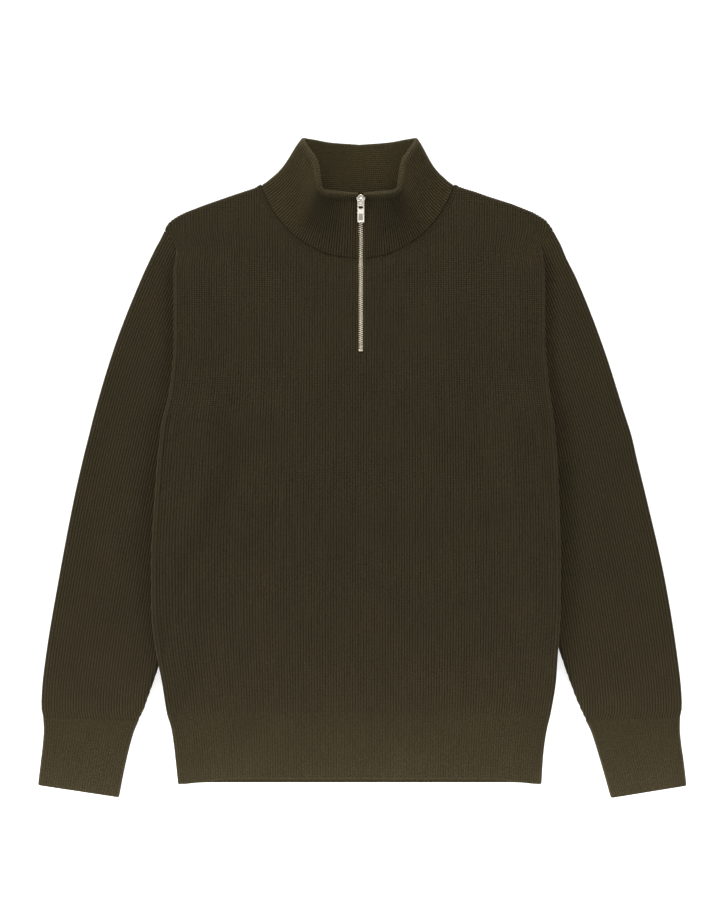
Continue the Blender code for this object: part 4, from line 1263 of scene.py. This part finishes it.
def buildPull():
    # A plate with rounded corners, a window below its hinge bar and a sunk field near its end.
    # Its rows and columns of points are close together along all of these.
    x = np.array(zipper["pullColumns"]) * mm
    x = np.concatenate([-x[:0:-1], x])
    x, y = np.meshgrid(x, np.array(zipper["pullRows"]) * mm)
    low, high = zipper["pullEnds"]
    corner = 1.1 * mm
    toEnd = np.minimum(y - low, high - y)
    cut = corner - np.sqrt(np.maximum(corner ** 2 - np.maximum(corner - toEnd, 0) ** 2, 0))
    width = zipper["pullHalf"] - cut
    toEdge = np.minimum(toEnd, (zipper["pullHalf"] - np.abs(x)) * width / zipper["pullHalf"])
    inX, winLow, winHigh = zipper["window"]
    outY = np.maximum(np.maximum(winLow - y, y - winHigh), 0)
    toWindow = np.hypot(np.maximum(np.abs(x) - inX, 0), outY)
    keep = ~((np.abs(x) < inX + 1e-6) & (y > winLow - 1e-6) & (y < winHigh + 1e-6))
    corners = keep[:-1, :-1] | keep[1:, 1:] | keep[:-1, 1:] | keep[1:, :-1]
    bent = zipper["pullBend"] * np.clip((zipper["bendFromY"] - y) / zipper["bendLength"], 0, 1) ** 2
    points = np.stack([x * width / zipper["pullHalf"], y, -bent], -1)
    rounded = np.minimum(roundEdge(toEdge, 0.35 * mm), roundEdge(toWindow, 0.3 * mm))
    fieldX, fieldLow, fieldHigh = zipper["recess"]
    field = (np.abs(x) < fieldX) & (y > fieldLow) & (y < fieldHigh)
    field = field * (0.1 + 0.9 * (fieldHigh - y) / (fieldHigh - fieldLow))
    half = zipper["pullHalfThickness"]
    above = rounded * (half - zipper["recessDepth"] * field)
    part = metalPart(points, above, rounded * half, zipper["pullTilt"], corners)
    piece = meshPiece("zipPull", [part], nickel)
    return finishPiece(piece, "pull_tab", "zip_metal", "zip_pull")


studio = {
    "floorSize": 4.0,
    "paper": {
        "Base Color": (0.62, 0.62, 0.617, 1),
        "Emission Color": (1, 1, 1, 1),
        "Emission Strength": 0.62,
        "Roughness": 0.9,
        "Specular IOR Level": 0.1,
    },
    "skyStrength": 0.395,
    "cameraHeight": 3.0,
    "frameCentre": (-2.3 * mm, 9.4 * mm),
    "frameHeight": 1045.5 * mm,
    "clothHeight": 5 * mm,
    # each light's name, place, aim, width and height, and power in watts
    "lights": (
        ("fromLeft", (-1.5, 0.1, 0.6), (-0.05, 0.1, 0), (2.0, 0.5), 21.5),
        ("fromRight", (1.0, 0.05, 0.42), (0.1, 0.05, 0), (2.0, 0.5), 6.8),
        ("fromCollar", (-0.1, 1.25, 0.42), (-0.1, 0.1, 0), (2.2, 0.5), 20),
        ("fromHem", (0, -0.47, 0.10), (0, -0.31, 0), (1.3, 0.08), 2.5),
        ("overhead", (0, -0.56, 3.2), (0, -0.56, 0), (1.0, 0.5), 2.4),
    ),
}


def areaLight(name, place, aim, size, power):
    # A lamp at place that faces aim.
    data = bpy.data.lights.new(name, "AREA")
    data.shape = "RECTANGLE"
    data.size, data.size_y = size
    data.energy = power
    lamp = newObject(name, data)
    lamp.location = place
    lamp.rotation_euler = (Vector(aim) - Vector(place)).to_track_quat("-Z", "Y").to_euler()
    lamp.visible_camera = False


def buildStudio():
    # White paper, a white sky, the lights and a camera straight above.
    size = studio["floorSize"]
    mesh = bpy.data.meshes.new("floor")
    corners = [(-size, -size, 0), (size, -size, 0), (size, size, 0), (-size, size, 0)]
    mesh.from_pydata(corners, [], [(0, 1, 2, 3)])
    mesh.materials.append(newMaterial("paper", studio["paper"])[0])
    newObject("floor", mesh)
    world = bpy.data.worlds.new("studio")
    world.use_nodes = True
    sky = world.node_tree.nodes["Background"].inputs
    sky["Color"].default_value = (1, 1, 1, 1)
    sky["Strength"].default_value = studio["skyStrength"]
    bpy.context.scene.world = world
    bpy.context.scene.view_settings.view_transform = "Standard"
    for light in studio["lights"]:
        areaLight(*light)
    camera = newObject("camera", bpy.data.cameras.new("camera"))
    x, y = studio["frameCentre"]
    camera.location = (x, y, studio["cameraHeight"] + studio["clothHeight"])
    camera.data.lens = camera.data.sensor_width * studio["cameraHeight"] / studio["frameHeight"]
    bpy.context.scene.camera = camera
    print("made studio")


front = buildPanel("frontPanel", True, "front_panel")
back = buildPanel("backPanel", False, "back_panel")
sleeveLeft = buildSleeve("sleeveLeft", "left", -1, "sleeve_left")
sleeveRight = buildSleeve("sleeveRight", "right", 1, "sleeve_right")
cuffLeft = buildCuff("cuffLeft", "left", -1, "cuff_left")
cuffRight = buildCuff("cuffRight", "right", 1, "cuff_right")
hemBand = buildHem()
collarPiece = buildCollar()
tape = buildTape()
buildChain()
buildSlider()
buildPull()

buildStudio()
